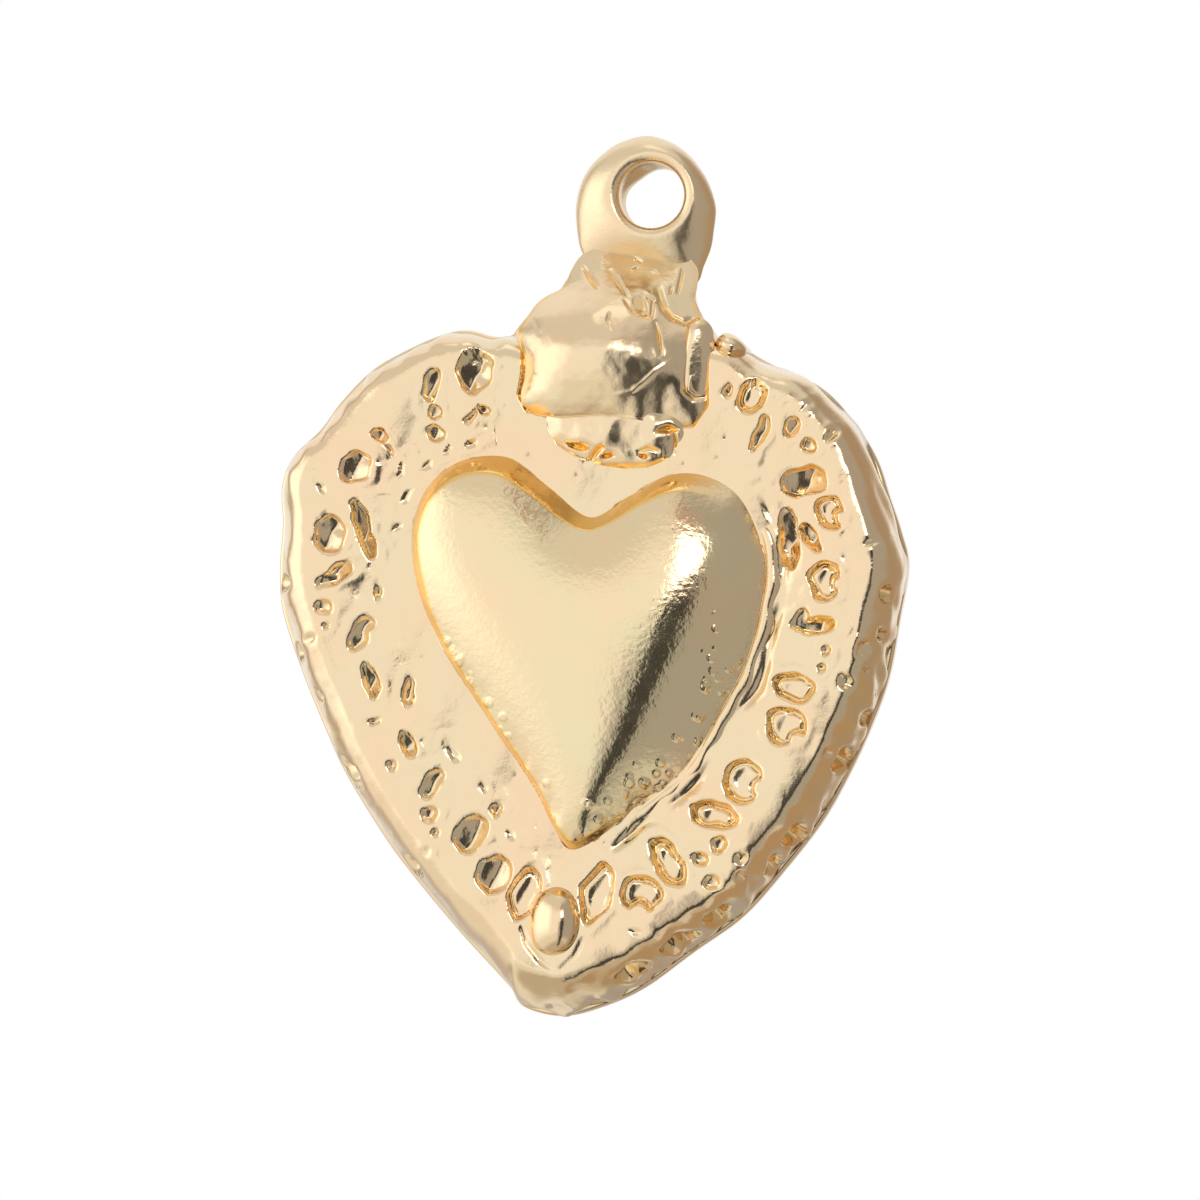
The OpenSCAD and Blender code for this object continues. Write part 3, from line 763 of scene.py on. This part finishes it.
def makeBorder():
    # each station runs from the heart's outline in to the dome's; its section is a quarter superellipse
    # up to the crest, a square roll-off of the top beside it, a cosine way down to the valley and a wall
    b = border
    share = np.arange(b["stations"]) / b["stations"]
    outer = alongKeys(heartLine, np.array(heart["keys"]) * curveSteps, share)
    inner = alongKeys(domeLine, np.array(dome["keys"]) * curveSteps, share)
    width = np.linalg.norm(inner - outer, axis=1)
    towardsLow = facingShare(outer, b["lowTurn"])
    towardsRight, lowLeft = (facingShare(outer, turn) for turn in b["roundTurns"])
    lowLeft = lowLeft ** b["leftPower"]
    atTip = smoothStep((fromPhoto(b["tip"], 0)[1] - outer[:, 1]) / b["tipSpan"] + b["tipLead"])
    crest = b["crest"] + b["lowCrest"] * towardsLow + b["leftCrest"] * lowLeft + b["tipCrest"] * atTip
    crest = soften(crest, b["even"])
    towardsLeft = np.clip(outward(outer) @ b["ledgeWay"], 0, 1)
    ledge = soften(b["ledge"][0] + b["ledge"][1] * towardsLow + b["ledge"][2] * towardsLeft, b["even"])
    plain, sides, tip = b["round"]
    rounder = np.minimum(sides * np.max([towardsLow, towardsRight, lowLeft], axis=0), tip * atTip)
    power = 2 / (plain + soften(rounder, b["even"]))
    crestAt = ledge + crest
    right = shareTowards(inner, *dome["lowRight"])
    turn = np.radians(np.linspace(0, 90, b["flankRows"]))[:, None]
    t = np.linspace(0, 1, b["topRows"])[1:, None]
    topD = crestAt + (width + b["under"] - crestAt) * t
    fromDome = width - topD
    down = np.clip(1 - (fromDome - b["valley"]) / b["slope"], 0, 1)
    stray = ripple(*inner.T, *b["strayWave"])
    groove = np.exp(-((fromDome - b["grooveAt"] - b["grooveStray"] * stray) / b["grooveWidth"]) ** 2)
    middle, change = b["breakDepth"]
    broken = np.clip(middle + change * ripple(*inner.T, *b["breakWave"]), b["breakLeast"], 1)
    groove = groove * broken * b["groove"] * right
    roll = b["roll"] * soften(towardsLow, b["even"]) ** 2
    flankD = crestAt - crest * np.cos(turn) ** power
    rolled = roll * np.clip(1 - (np.vstack([flankD, topD]) - crestAt) / b["rollWidth"], 0, 2) ** 2
    byTip = smoothStep((fromPhoto(b["tipRow"], levels["valley"])[1] - inner[:, 1]) / b["tipReach"])
    drop = b["drop"][0] + b["drop"][1] * soften(right * (1 - b["tipShare"] * byTip), b["dropEven"])
    d = np.vstack([flankD, topD, width, width * b["underShare"]])
    flankTop = levels["border"] - rolled[:len(turn)] - levels["plate"]
    foot = np.full((2, b["stations"]), levels["plate"])
    h = np.vstack([levels["plate"] + flankTop * np.sin(turn) ** power,
                   levels["border"] - rolled[len(turn):] - drop * (1 - np.cos(math.pi * down)) / 2 - groove,
                   foot])
    xy = outer + (inner - outer) * (d / width)[..., None]
    grid = toWorld(xy[..., 0], xy[..., 1], h)
    px, py = toPhoto(grid)
    normals = surfaceNormals(grid)
    facing = smoothStep((normals @ picBack) / b["markEdge"])
    punched, moats = punchDepth(px, py, marks)
    shift = -(punched + grooveDepth(px, py, b["grooves"])) * facing
    for wave, high, seed in b["waves"]:
        shift += high * ripple(xy[..., 0], xy[..., 1], wave, seed)
    wave, high, seed = b["flankWave"]
    steep = smoothStep(1 - np.abs(normals[..., 1]))
    shift += high * steep * ripple(xy[..., 0] + xy[..., 1], h, wave, seed)
    rng = np.random.default_rng(b["speckSeed"])
    speckRows = rng.integers(*b["speckRows"], b["specks"])
    for row, col in zip(speckRows, rng.integers(0, b["stations"], b["specks"])):
        reach = np.linalg.norm(xy - xy[row, col], axis=-1) / rng.uniform(*b["speckSize"])
        shift -= rng.uniform(*b["speckDepth"]) * np.exp(-reach ** 2)
    grid[:-2] += normals[:-2] * shift[:-2, :, None]
    underFlame = insideDistance(px, py, flame["pixels"]) / b["notchWall"] + b["notchLead"]
    underCollar = insideDistance(px, py, collar["pixels"]) / b["notchWall"] - b["collarLag"]
    letDown = np.maximum(b["notch"] * smoothStep(underFlame), b["collarNotch"] * smoothStep(underCollar))
    grid[..., 1] += np.clip(letDown, 0, np.maximum(h - levels["plate"] - b["floor"], 0))
    # painted reflection: deep gold where the surface bends into a wall or runs along a moat, more of it to
    # the right
    bent = 1 - np.sum(surfaceNormals(grid) * normals, axis=-1)
    (start, end), (least, most) = b["creaseColumns"], b["creaseShare"]
    paintedReflection = least + (most - least) * smoothStep((px - start) / (end - start))
    paintedReflection = paintedReflection * np.maximum(smoothStep((bent - b["creaseFrom"]) / b["creaseFrom"]), moats * facing)
    dress("border", grid, True, "border_shell", borderGold, paintedReflection)


makeBorder()


def makeDome():
    # a soft pillow over the heart: its rise is t (1 + (1 - t) / puff) of the soft edge distance's share t,
    # on top of a rim that rises as 1 - (1 - s)^bow of the share s of its width
    c = fromPhoto(dome["centre"], levels["valley"])
    line = alongKeys(domeLine, [0], np.arange(dome["columns"]) / dome["columns"])
    xy = polarPoints(c, line, dome["rows"], dome["crowd"])
    x, y = xy[..., 0], xy[..., 1]
    away = edgeDistance(x, y, domeLine)
    away[-1] = 0
    t = away / away.max()
    facesUp = np.clip(outward(line)[:, 1], 0, 1)
    wallWidth = dome["wallWidth"] + dome["topWidth"] * facesUp
    wallWidth = wallWidth * (1 - dome["wornShare"] * shareTowards(line, *dome["worn"]))
    wallRise = dome["wallRise"] + dome["topRise"] * shareTowards(xy, *dome["top"])
    wallRise = wallRise * (1 - shareTowards(xy, *dome["wallEnd"]))
    wall = 1 - (1 - np.clip(away / wallWidth, 0, 1)) ** dome["wallBow"]
    base = levels["valley"] + dome["base"] + dome["leftBase"] * (1 - shareTowards(xy, *dome["rightBase"]))
    h = base + wallRise * wall + (levels["dome"] - base - wallRise) * t * (1 + (1 - t) / dome["puff"])
    shoulder = np.exp(-((away - wallWidth) / dome["wallWidth"]) ** 2) * shareTowards(xy, *dome["worn"])
    h -= dome["wornDepth"] * shoulder * np.clip(dome["wornLevel"] + ripple(x, y, *dome["wornWave"]), 0, 1)
    px, py = toPhoto(toWorld(x, y, h))
    rng = np.random.default_rng(dome["blisterSeed"])
    end, edge = dome["blisterEdge"]
    for path, count, stray in dome["blisterPaths"]:
        path = np.array(path, float)
        at = rng.uniform(0, len(path) - 1, count)
        spot = np.stack([np.interp(at, np.arange(len(path)), path[:, k]) for k in (0, 1)], axis=-1)
        spot += rng.normal(0, stray / 2, spot.shape)
        for (sx, sy), size in zip(spot, rng.uniform(*dome["blisterSize"], count)):
            reach = np.hypot(px - sx, py - sy) * view["pixelSize"] / size
            h += dome["blisterRise"] * size * smoothStep((end - reach) / edge)
    # painted reflection: deep gold along the rim's wall, none where the rim ends on the right
    paintedReflection = 1 - smoothStep((away - wallWidth) / dome["creaseFade"])
    paintedReflection = paintedReflection * (1 - shareTowards(xy, *dome["wallEnd"]))
    dressCap("dome", xy, h, "heart_dome", domeGold, paintedReflection, dome["upright"])


makeDome()

# Bezel: the raised lip round the dome, taller on the right and below
bezel = {
    "stations": 900,
    "gap": 0.02,       # mm between dome and lip
    "width": 0.5,      # mm
    "hidden": 0.18,    # mm that it lies lower on the left and above, under the border
    "sunk": 0.04,      # mm that its edges lie under the valley
    "foot": 0.35,      # mm that it goes down into the valley
    "wave": (1.2, 8),  # unevenness: mm long, seed
    "waveShare": 0.25,   # share of its height that it changes
    "waveWidth": 0.15,   # share of its width
    "rows": 19,        # rows of the grid over its back
    "footStep": 6,     # of which its foot has one in so many
}


def makeBezel():
    # a lip carried round the dome's outline: over its width s it goes from the dome's edge down to the
    # valley with a rounded back, 4 s (1 - s), on a flat foot
    b = bezel
    line = alongKeys(domeLine, [0], np.arange(b["stations"]) / b["stations"])
    out = outward(line)
    right = shareTowards(line, *dome["lowRight"])
    inner = dome["base"] * right
    high = levels["bezel"] - levels["valley"] - inner / 2
    uneven = ripple(*line.T, *b["wave"])
    rise = high * right * (1 + b["waveShare"] * (np.clip(uneven, -1, 1) - 1) / 2)
    s = np.linspace(0, 1, b["rows"])[:, None]
    under = s[::-b["footStep"]]
    d = np.vstack([s, under]) * b["width"] * (1 + b["waveWidth"] * uneven) + b["gap"]
    back = inner * (1 - s) + rise * 4 * s * (1 - s) - b["sunk"] * s - b["hidden"] * (1 - right)
    foot = np.full((len(under), b["stations"]), -b["foot"])
    xy = line + out * d[..., None]
    grid = toWorld(xy[..., 0], xy[..., 1], levels["valley"] + np.vstack([back, foot]))
    dress("bezel", grid, True, "heart_bezel", borderGold)


makeBezel()

# Eye: a ball-like ring pierced by the hole, which runs down behind the flame
eye = {
    "pixels": [(647, 136), (622, 142), (603, 154), (589, 169), (580, 187), (576, 208), (577, 230),
               (581, 250), (592, 266), (616, 277), (645, 284), (676, 291), (697, 283), (704, 266),
               (711, 248), (714, 230), (716, 209), (711, 189), (702, 171), (688, 154), (670, 142)],
    "columns": 360,
    "outlineSteps": 600,
    "rows": (26, 9, 8),  # rows of the grid over the ring, a lip and the bore's wall
    "middle": (levels["eye"] + levels["eyeBack"]) / 2,  # mm above the back
    "half": (levels["eye"] - levels["eyeBack"]) / 2,    # mm, half its thickness
    "bore": 1.0,        # mm radius of the hole
    "lip": 0.28,        # mm of rounding at the hole's edge
    "round": 1.65,      # power of the ring's rounding: 2 is a quarter ellipse
    "neckTurn": -97,    # degrees from the right, counter-clockwise, where its neck is
    "neckFall": 0.5,    # share of its height that it loses on the way to the neck
    "burr": 0.2,        # mm of burr left inside the hole, at the back
    "burrTurn": 132,    # degrees from the right, counter-clockwise
    "burrSpread": 40,   # degrees
    # where it starts in the bore's straight wall, 1 at the front and -1 at the back, and its run from there
    "burrFrom": (0.25, 0.6),
    "burrEnd": 0.4,     # share of it at the end of the back's lip
}


def eyeReach(around):
    # distance in mm from the hole's middle to the ring's outline, in these directions
    line = evenCurve(eye["pixels"], eye["middle"], eye["outlineSteps"])
    angle = np.arctan2(line[:, 1], line[:, 0])
    order = np.argsort(angle)
    return np.interp(around, angle[order], np.linalg.norm(line, axis=1)[order], period=2 * math.pi)


def eyeRise(q):
    # height of the ring's back over its middle: (1 - q^p)^(1/p) of the share q from the lip to the outline
    power = eye["round"]
    return eye["half"] * np.clip(1 - q ** power, 0, 1) ** (1 / power)


def eyeFront(q, around):
    # height of the ring's front: the same, less a share that grows with q towards the neck
    towardsNeck = np.clip(np.cos(around - math.radians(eye["neckTurn"])), 0, 1) ** 2
    return eyeRise(q) * (1 - eye["neckFall"] * towardsNeck * q)


def makeEye():
    # round the hole, each section goes in over the front, through the bore between two rounded lips,
    # and out over the back in the same way
    e = eye
    half = e["half"]
    ringRows, lipRows, wallRows = e["rows"]
    around = np.linspace(-math.pi, math.pi, e["columns"], endpoint=False)
    reach = eyeReach(around)
    rim = e["bore"] + e["lip"]
    q = np.sin(np.radians(np.linspace(0, 90, ringRows)))[:, None]
    out = rim + (reach - rim) * q
    front = np.stack([out, eyeFront(q, around)], axis=-1)
    back = np.stack([out, -eyeRise(q) * np.ones_like(reach)], axis=-1)
    turn = np.radians(np.linspace(0, 90, lipRows))[1:, None] * np.ones_like(reach)
    lip = np.stack([rim - e["lip"] * np.sin(turn), half - e["lip"] * (1 - np.cos(turn))], axis=-1)
    swing = np.degrees(np.angle(np.exp(1j * (around - math.radians(e["burrTurn"])))))
    burr = e["burr"] * np.exp(-(swing / e["burrSpread"]) ** 2)
    wall = np.linspace(1, -1, wallRows)[1:-1, None]
    burrAt, burrReach = e["burrFrom"]
    bore = np.stack([e["bore"] - burr * smoothStep((burrAt - wall) / burrReach),
                     (half - e["lip"]) * wall * np.ones_like(reach)], axis=-1)
    backLip = lip[::-1] * (1, -1)
    backLip[..., 0] -= burr * np.linspace(1, e["burrEnd"], len(backLip))[:, None]
    section = np.concatenate([front[::-1], lip, bore, backLip, back[:-1]])
    r, h = section[..., 0], e["middle"] + section[..., 1]
    grid = toWorld(r * np.cos(around), r * np.sin(around), h)
    dress("eye", grid, True, "bail_eye", eyeGold)


makeEye()


toolFade = 0.12  # mm from a piece's edge over which its tooling comes in


def swelling(f, rims=None):
    # a cap over a piece's outline: its points, their soft edge distance, and that distance's share t
    line = evenCurve(f["pixels"], f["rim"] if rims is None else rims, f["columns"])
    xy = polarPoints(fromPhoto(f["centre"], f["rim"]), line, f["rows"], f["crowd"])
    away = edgeDistance(xy[..., 0], xy[..., 1], line)
    away[-1] = 0
    return xy, away, away / away.max()


def acrossShare(xy):
    # how far a cap's points lie to the right of its middle, as a share of its width
    return (xy[..., 0] - xy[0, 0, 0]) / np.ptp(xy[..., 0])


def neckSwell(py):
    # grows from 0 at the neck to 1 at the bulb, down the photograph, as t^2 (3 - 2 t)
    low, high = flame["neckPixels"]
    t = np.clip((py - low) / (high - low), 0, 1)
    return t * t * (3 - 2 * t)


def footShare(px, py):
    # 1 where the flame meets the collar, 0 away from it
    top, bottom, left, leftEnd, rightStart, right = flame["footPixels"]
    foot = smoothStep((py - top) / (bottom - top)) * smoothStep((px - left) / (leftEnd - left))
    return foot * smoothStep((right - px) / (right - rightStart))


def flameRim(px, py):
    # height of the flame's edge: low at the neck, level with the border's flank beside it, and high at
    # the collar
    f = flame
    foot = (f["footRim"] - f["rim"]) * footShare(px, py)
    return f["neckRim"] + (f["rim"] - f["neckRim"]) * neckSwell(py) + foot


def makeFlame():
    # a swelling 1 - (1 - t)^bow which grows from the neck down, less the tooled grooves; over the eye it
    # goes into the ring's front by a soft maximum of the two
    f = flame
    xy, away, t = swelling(f, flameRim(*np.array(f["pixels"], float).T)[:, None])
    ball = 1 - (1 - t) ** f["bow"]
    x, y = xy[..., 0], xy[..., 1]
    px, py = toPhoto(toWorld(x, y, (f["rim"] + levels["flame"]) / 2))
    rim = flameRim(px, py)
    swell = f["neckShare"] + (1 - f["neckShare"]) * neckSwell(py)
    h = rim + (levels["flame"] - rim) * swell * ball
    lip = eye["bore"] + eye["lip"]
    around = np.arctan2(y, x)
    share = np.clip((np.hypot(x, y) - lip) / (eyeReach(around) - lip), 0, 1)
    ring = eye["middle"] + eyeFront(share, around)
    soft = f["blend"] * smoothStep(away / f["blendReach"])
    h = ring + (h - ring + np.hypot(h - ring, soft)) / 2
    px, py = toPhoto(toWorld(x, y, h))
    fade = smoothStep(away / toolFade)
    start, end, fall = f["rightFall"]
    h -= fall * smoothStep((px - start) / (end - start)) * ball
    cuts = grooveDepth(px, py, f["grooves"]) + punchDepth(px, py, f["recess"])[0]
    h -= (cuts + dentDepth(px, py, f["dents"])) * fade
    for wave, high, seed in f["waves"]:
        h += high * ripple(x, y, wave, seed) * fade
    # painted reflection: deep gold along its edge, less where it meets the collar, and in its cuts
    paintedReflection = (1 - smoothStep(away / f["creaseWidth"])) * neckSwell(py)
    paintedReflection = paintedReflection * (1 - f["footCrease"] * footShare(px, py))
    paintedReflection = np.maximum(paintedReflection, f["creaseShare"] * smoothStep(cuts / f["creaseDepth"]))
    dressCap("flame", xy, h, "flame_bulb", flameGold, paintedReflection)


def makeLeaf():
    # a narrow swelling t (2 - t) that falls away to the right, with painted deep-gold reflection along its
    # left edge
    xy, away, t = swelling(leaf)
    across = acrossShare(xy)
    swell = leaf["rise"] * t * (2 - t) * (1 + leaf["lean"] * across)
    h = leaf["rim"] + (levels["leaf"] - leaf["rim"]) * swell
    middle, rate = leaf["creaseSide"]
    # painted reflection: deep gold along the edge, fading to the right
    paintedReflection = (1 - smoothStep(away / leaf["creaseWidth"])) * smoothStep(middle - rate * across)
    dressCap("leaf", xy, h, "flame_leaf", flameGold, paintedReflection)


def makeCollar():
    # a low swelling t^bow, a little uneven, less its grooves, pockets and dents
    f = collar
    xy, away, t = swelling(f)
    x, y = xy[..., 0], xy[..., 1]
    h = f["rim"] + (levels["collar"] - f["rim"]) * t ** f["bow"]
    px, py = toPhoto(toWorld(x, y, h))
    pockets = grooveDepth(px, py, f["grooves"]) + punchDepth(px, py, f["pockets"])[0]
    cuts = pockets + dentDepth(px, py, f["dents"])
    wave, high, seed = f["wave"]
    h += (high * ripple(x, y, wave, seed) - cuts) * smoothStep(away / toolFade)
    # painted reflection: deep gold along its edge and in its grooves and pockets
    paintedReflection = np.maximum(1 - smoothStep(away / f["creaseWidth"]), smoothStep(pockets / f["creaseDepth"]))
    dressCap("collar", xy, h, "cleft_collar", flameGold, paintedReflection)


makeFlame()
makeLeaf()
makeCollar()

# Beads: an oval one at the tip and a small round one beside the finial
tipBead = {
    "pixels": [(558, 886), (540, 892), (530, 910), (529, 932), (536, 950), (552, 957), (569, 952),
               (580, 936), (582, 914), (574, 894)],
    "centre": (555, 921),
    "columns": 220,
    "rows": 44,
    "crowd": 1.3,
    "rim": 3.2,    # mm above the back where it meets the border
    "lean": 0.5,   # share of its height that it gains from left to right
}
sideBead = {
    "pixels": [(728, 333), (719, 337), (715, 346), (719, 355), (729, 360), (741, 357), (747, 350),
               (741, 340)],
    "centre": (730, 347),
    "columns": 160,
    "rows": 34,
    "crowd": 1.3,
    "rim": 2.7,
    "lean": 0.2,
}


def makeBead(name, b, node):
    # a round swelling, root t, that leans over to one side
    xy, _, t = swelling(b)
    h = b["rim"] + (levels[name] - b["rim"]) * np.sqrt(t) * (1 + b["lean"] * acrossShare(xy))
    dressCap(name, xy, h, node, beadGold)


makeBead("tipBead", tipBead, "tip_bead")
makeBead("sideBead", sideBead, "side_bead")

# Back plate: the heart's outline with a tab up behind the finial
plate = {
    "tab": [(716, 338), (703, 317), (696, 300), (696, 285), (699, 268), (690, 262), (650, 262), (610, 262),
            (582, 262), (567, 281), (561, 290), (548, 298), (530, 315), (519, 328), (512, 336)],
    "centre": (595, 640),
    "columns": 720,
    "rows": 46,
    "edgeRows": 6,       # over each rounding
    "heartSpan": (3, 42),  # points of the heart's outline that it follows below the tab
    "round": 0.12,       # mm of rounding at its edges
    "waves": [(3.0, 0.06, 30), (1.5, 0.035, 31)],  # hammering of the back: mm long, mm deep, seed
}


def makePlate():
    # a sheet: flat front, an edge rounded as a quarter circle above and below, and a hammered back
    p = plate
    first, last = p["heartSpan"]
    outline = p["tab"] + heart["pixels"][first:last]
    line = evenCurve(outline, levels["plate"] / 2, p["columns"])
    c = fromPhoto(p["centre"], levels["plate"] / 2)
    turn = np.radians(np.linspace(0, 90, p["edgeRows"]))
    bite = p["round"] * (1 - np.concatenate([np.sin(turn), np.cos(turn)]))
    above = levels["plate"] - p["round"] * (1 - np.cos(turn))
    rise = np.concatenate([above, p["round"] * (1 - np.sin(turn))])
    edge = line - outward(line) * bite[:, None, None]
    inner = polarPoints(c, edge[0], p["rows"])[:-1]
    under = polarPoints(c, edge[-1], p["rows"])[:-1][::-1]
    front = toWorld(inner[..., 0], inner[..., 1], levels["plate"])
    rim = toWorld(edge[..., 0], edge[..., 1], rise[:, None])
    hammer = sum(deep * (1 + np.clip(ripple(under[..., 0], under[..., 1], wave, seed), -1, 1)) / 2
                 for wave, deep, seed in p["waves"])
    back = toWorld(under[..., 0], under[..., 1], hammer)
    dress("plate", np.concatenate([front, rim, back]), False, "back_plate", plateGold)


makePlate()

# Studio: a light tent that only the polished metal sees. Each panel covers a range of degrees to the
# right of the camera and above it, with a soft edge, and glows in its own colour; later panels lie on top.
tent = {
    "radius": 250.0,      # mm from the pendant
    "across": 240,        # steps round
    "up": 120,            # steps from nadir to zenith
    "poles": 89.5,        # degrees that it reaches down and up
    "panels": [  # across, up, soft edge in degrees, glow
        ((-110, -52), (-12, 46), 30, (1.45, 1.45, 1.45)),  # left softbox
        ((-200, 200), (31, 100), 20, (0.76, 0.75, 0.73)),  # ceiling
        ((-200, 200), (77, 100), 12, (1.20, 1.18, 1.14)),  # top light
        ((-200, 200), (-100, -26), 20, (0.86, 0.84, 0.78)),  # table
        ((-200, 200), (-100, -54), 26, (0.57, 0.50, 0.42)),  # its near edge
        ((20, 200), (-45, 52), 24, (0.43, 0.42, 0.41)),  # grey wall
        ((90, 150), (-75, -6), 20, (0.46, 0.34, 0.22)),  # brown floor, right
        ((112, 230), (-25, 38), 34, (0.42, 0.33, 0.24)),  # brown back, right
        ((-230, -122), (-25, 38), 34, (0.42, 0.33, 0.24)),  # and left
        ((152, 230), (-13, 70), 24, (0.95, 0.94, 0.92)),  # light behind, right
        ((-230, -136), (-13, 70), 24, (0.95, 0.94, 0.92)),  # and left
        ((-4, 13), (-70, 2), 18, (0.50, 0.50, 0.50)),  # shade
        ((8, 30), (-80, 11), 5, (0.06, 0.06, 0.06)),  # black flag
        ((9, 28), (13, 30), 5, (3.2, 3.2, 3.2)),  # strip light
        ((7, 26), (32, 42), 6, (0.45, 0.33, 0.30)),  # brown card
    ],
}


def studioMesh(name, verts, faces):
    # a mesh that isn't part of the pendant, with a material of its own
    mesh = bpy.data.meshes.new(name)
    mesh.from_pydata(verts, [], faces)
    mat = bpy.data.materials.new(name)
    mat.use_nodes = True
    mesh.materials.append(mat)
    ob = bpy.data.objects.new(name, mesh)
    bpy.context.scene.collection.objects.link(ob)
    return ob, mat


def makeTent():
    # a ball round the pendant, azimuth a and elevation e; a panel's cover is the product of smooth steps
    # at its four edges
    a, e = np.meshgrid(np.linspace(-180, 180, tent["across"], endpoint=False),
                       np.linspace(-tent["poles"], tent["poles"], tent["up"]))
    glow = np.ones(a.shape + (3,))
    for across, up, soft, color in tent["panels"]:
        cover = np.ones(a.shape)
        for value, (low, high) in ((a, across), (e, up)):
            cover = cover * smoothStep((value - low) / soft + 0.5)
            cover = cover * smoothStep((high - value) / soft + 0.5)
        glow += (np.array(color) - glow) * cover[..., None]
    a, e = np.radians(a)[..., None], np.radians(e)[..., None]
    ray = picRight * np.sin(a) * np.cos(e) + picUp * np.sin(e) + picBack * np.cos(a) * np.cos(e)
    grid = aimPoint + ray * tent["radius"]
    rows, cols = grid.shape[:2]
    i = np.arange(cols)
    ring = np.arange(rows - 1)[:, None] * cols
    j = (i + 1) % cols
    faces = np.stack(np.broadcast_arrays(ring + i, ring + j, ring + cols + j, ring + cols + i), axis=-1)
    ob, mat = studioMesh("tent", (grid.reshape(-1, 3) * mm).tolist(), faces.reshape(-1, 4).tolist())
    layer = ob.data.color_attributes.new("glow", 'FLOAT_COLOR', 'POINT')
    color = np.concatenate([glow, np.ones(a.shape)], axis=-1)
    layer.data.foreach_set("color", color.astype(np.float32).ravel())
    mat.cycles.emission_sampling = 'NONE'
    nodes, links = mat.node_tree.nodes, mat.node_tree.links
    nodes.clear()
    shade = nodes.new("ShaderNodeEmission")
    tone = nodes.new("ShaderNodeAttribute")
    tone.attribute_name = "glow"
    links.new(tone.outputs["Color"], shade.inputs["Color"])
    links.new(shade.outputs[0], nodes.new("ShaderNodeOutputMaterial").inputs["Surface"])
    ob.visible_camera = False
    ob.visible_diffuse = False
    ob.visible_transmission = False
    ob.visible_shadow = False


makeTent()

floorLook = {
    "level": -46.0,              # mm over the hole, below zero under it
    "size": 1500.0,              # mm wide
    "color": (0.86, 0.86, 0.85),
    "rough": 0.9,
}


def makeFloor():
    half, z = floorLook["size"] / 2 * mm, floorLook["level"] * mm
    corners = [(-half, -half, z), (half, -half, z), (half, half, z), (-half, half, z)]
    ob, mat = studioMesh("floor", corners, [(0, 1, 2, 3)])
    shader = mat.node_tree.nodes["Principled BSDF"]
    shader.inputs["Base Color"].default_value = (*floorLook["color"], 1)
    shader.inputs["Roughness"].default_value = floorLook["rough"]
    ob.visible_glossy = False


makeFloor()

plainLevel = 0.9  # strength of the white that lights everything else than metal and glass


def makeWorld():
    # white at strength 1 to the camera, metal and glass, and at the plain level to everything else
    world = bpy.data.worlds.new("studio")
    bpy.context.scene.world = world
    world.use_nodes = True
    nodes, links = world.node_tree.nodes, world.node_tree.links
    ground = nodes["Background"]
    ground.inputs["Color"].default_value = (1, 1, 1, 1)
    path = nodes.new("ShaderNodeLightPath")
    seen = path.outputs["Is Camera Ray"]
    for kind in ("Is Glossy Ray", "Is Transmission Ray"):
        either = nodes.new("ShaderNodeMath")
        either.operation = 'MAXIMUM'
        links.new(seen, either.inputs[0])
        links.new(path.outputs[kind], either.inputs[1])
        seen = either.outputs[0]
    level = nodes.new("ShaderNodeMapRange")
    level.inputs["To Min"].default_value = plainLevel
    level.inputs["To Max"].default_value = 1.0
    links.new(seen, level.inputs["Value"])
    links.new(level.outputs["Result"], ground.inputs["Strength"])


makeWorld()
print("studio lit")

bpy.context.scene.view_settings.view_transform = 'Standard'
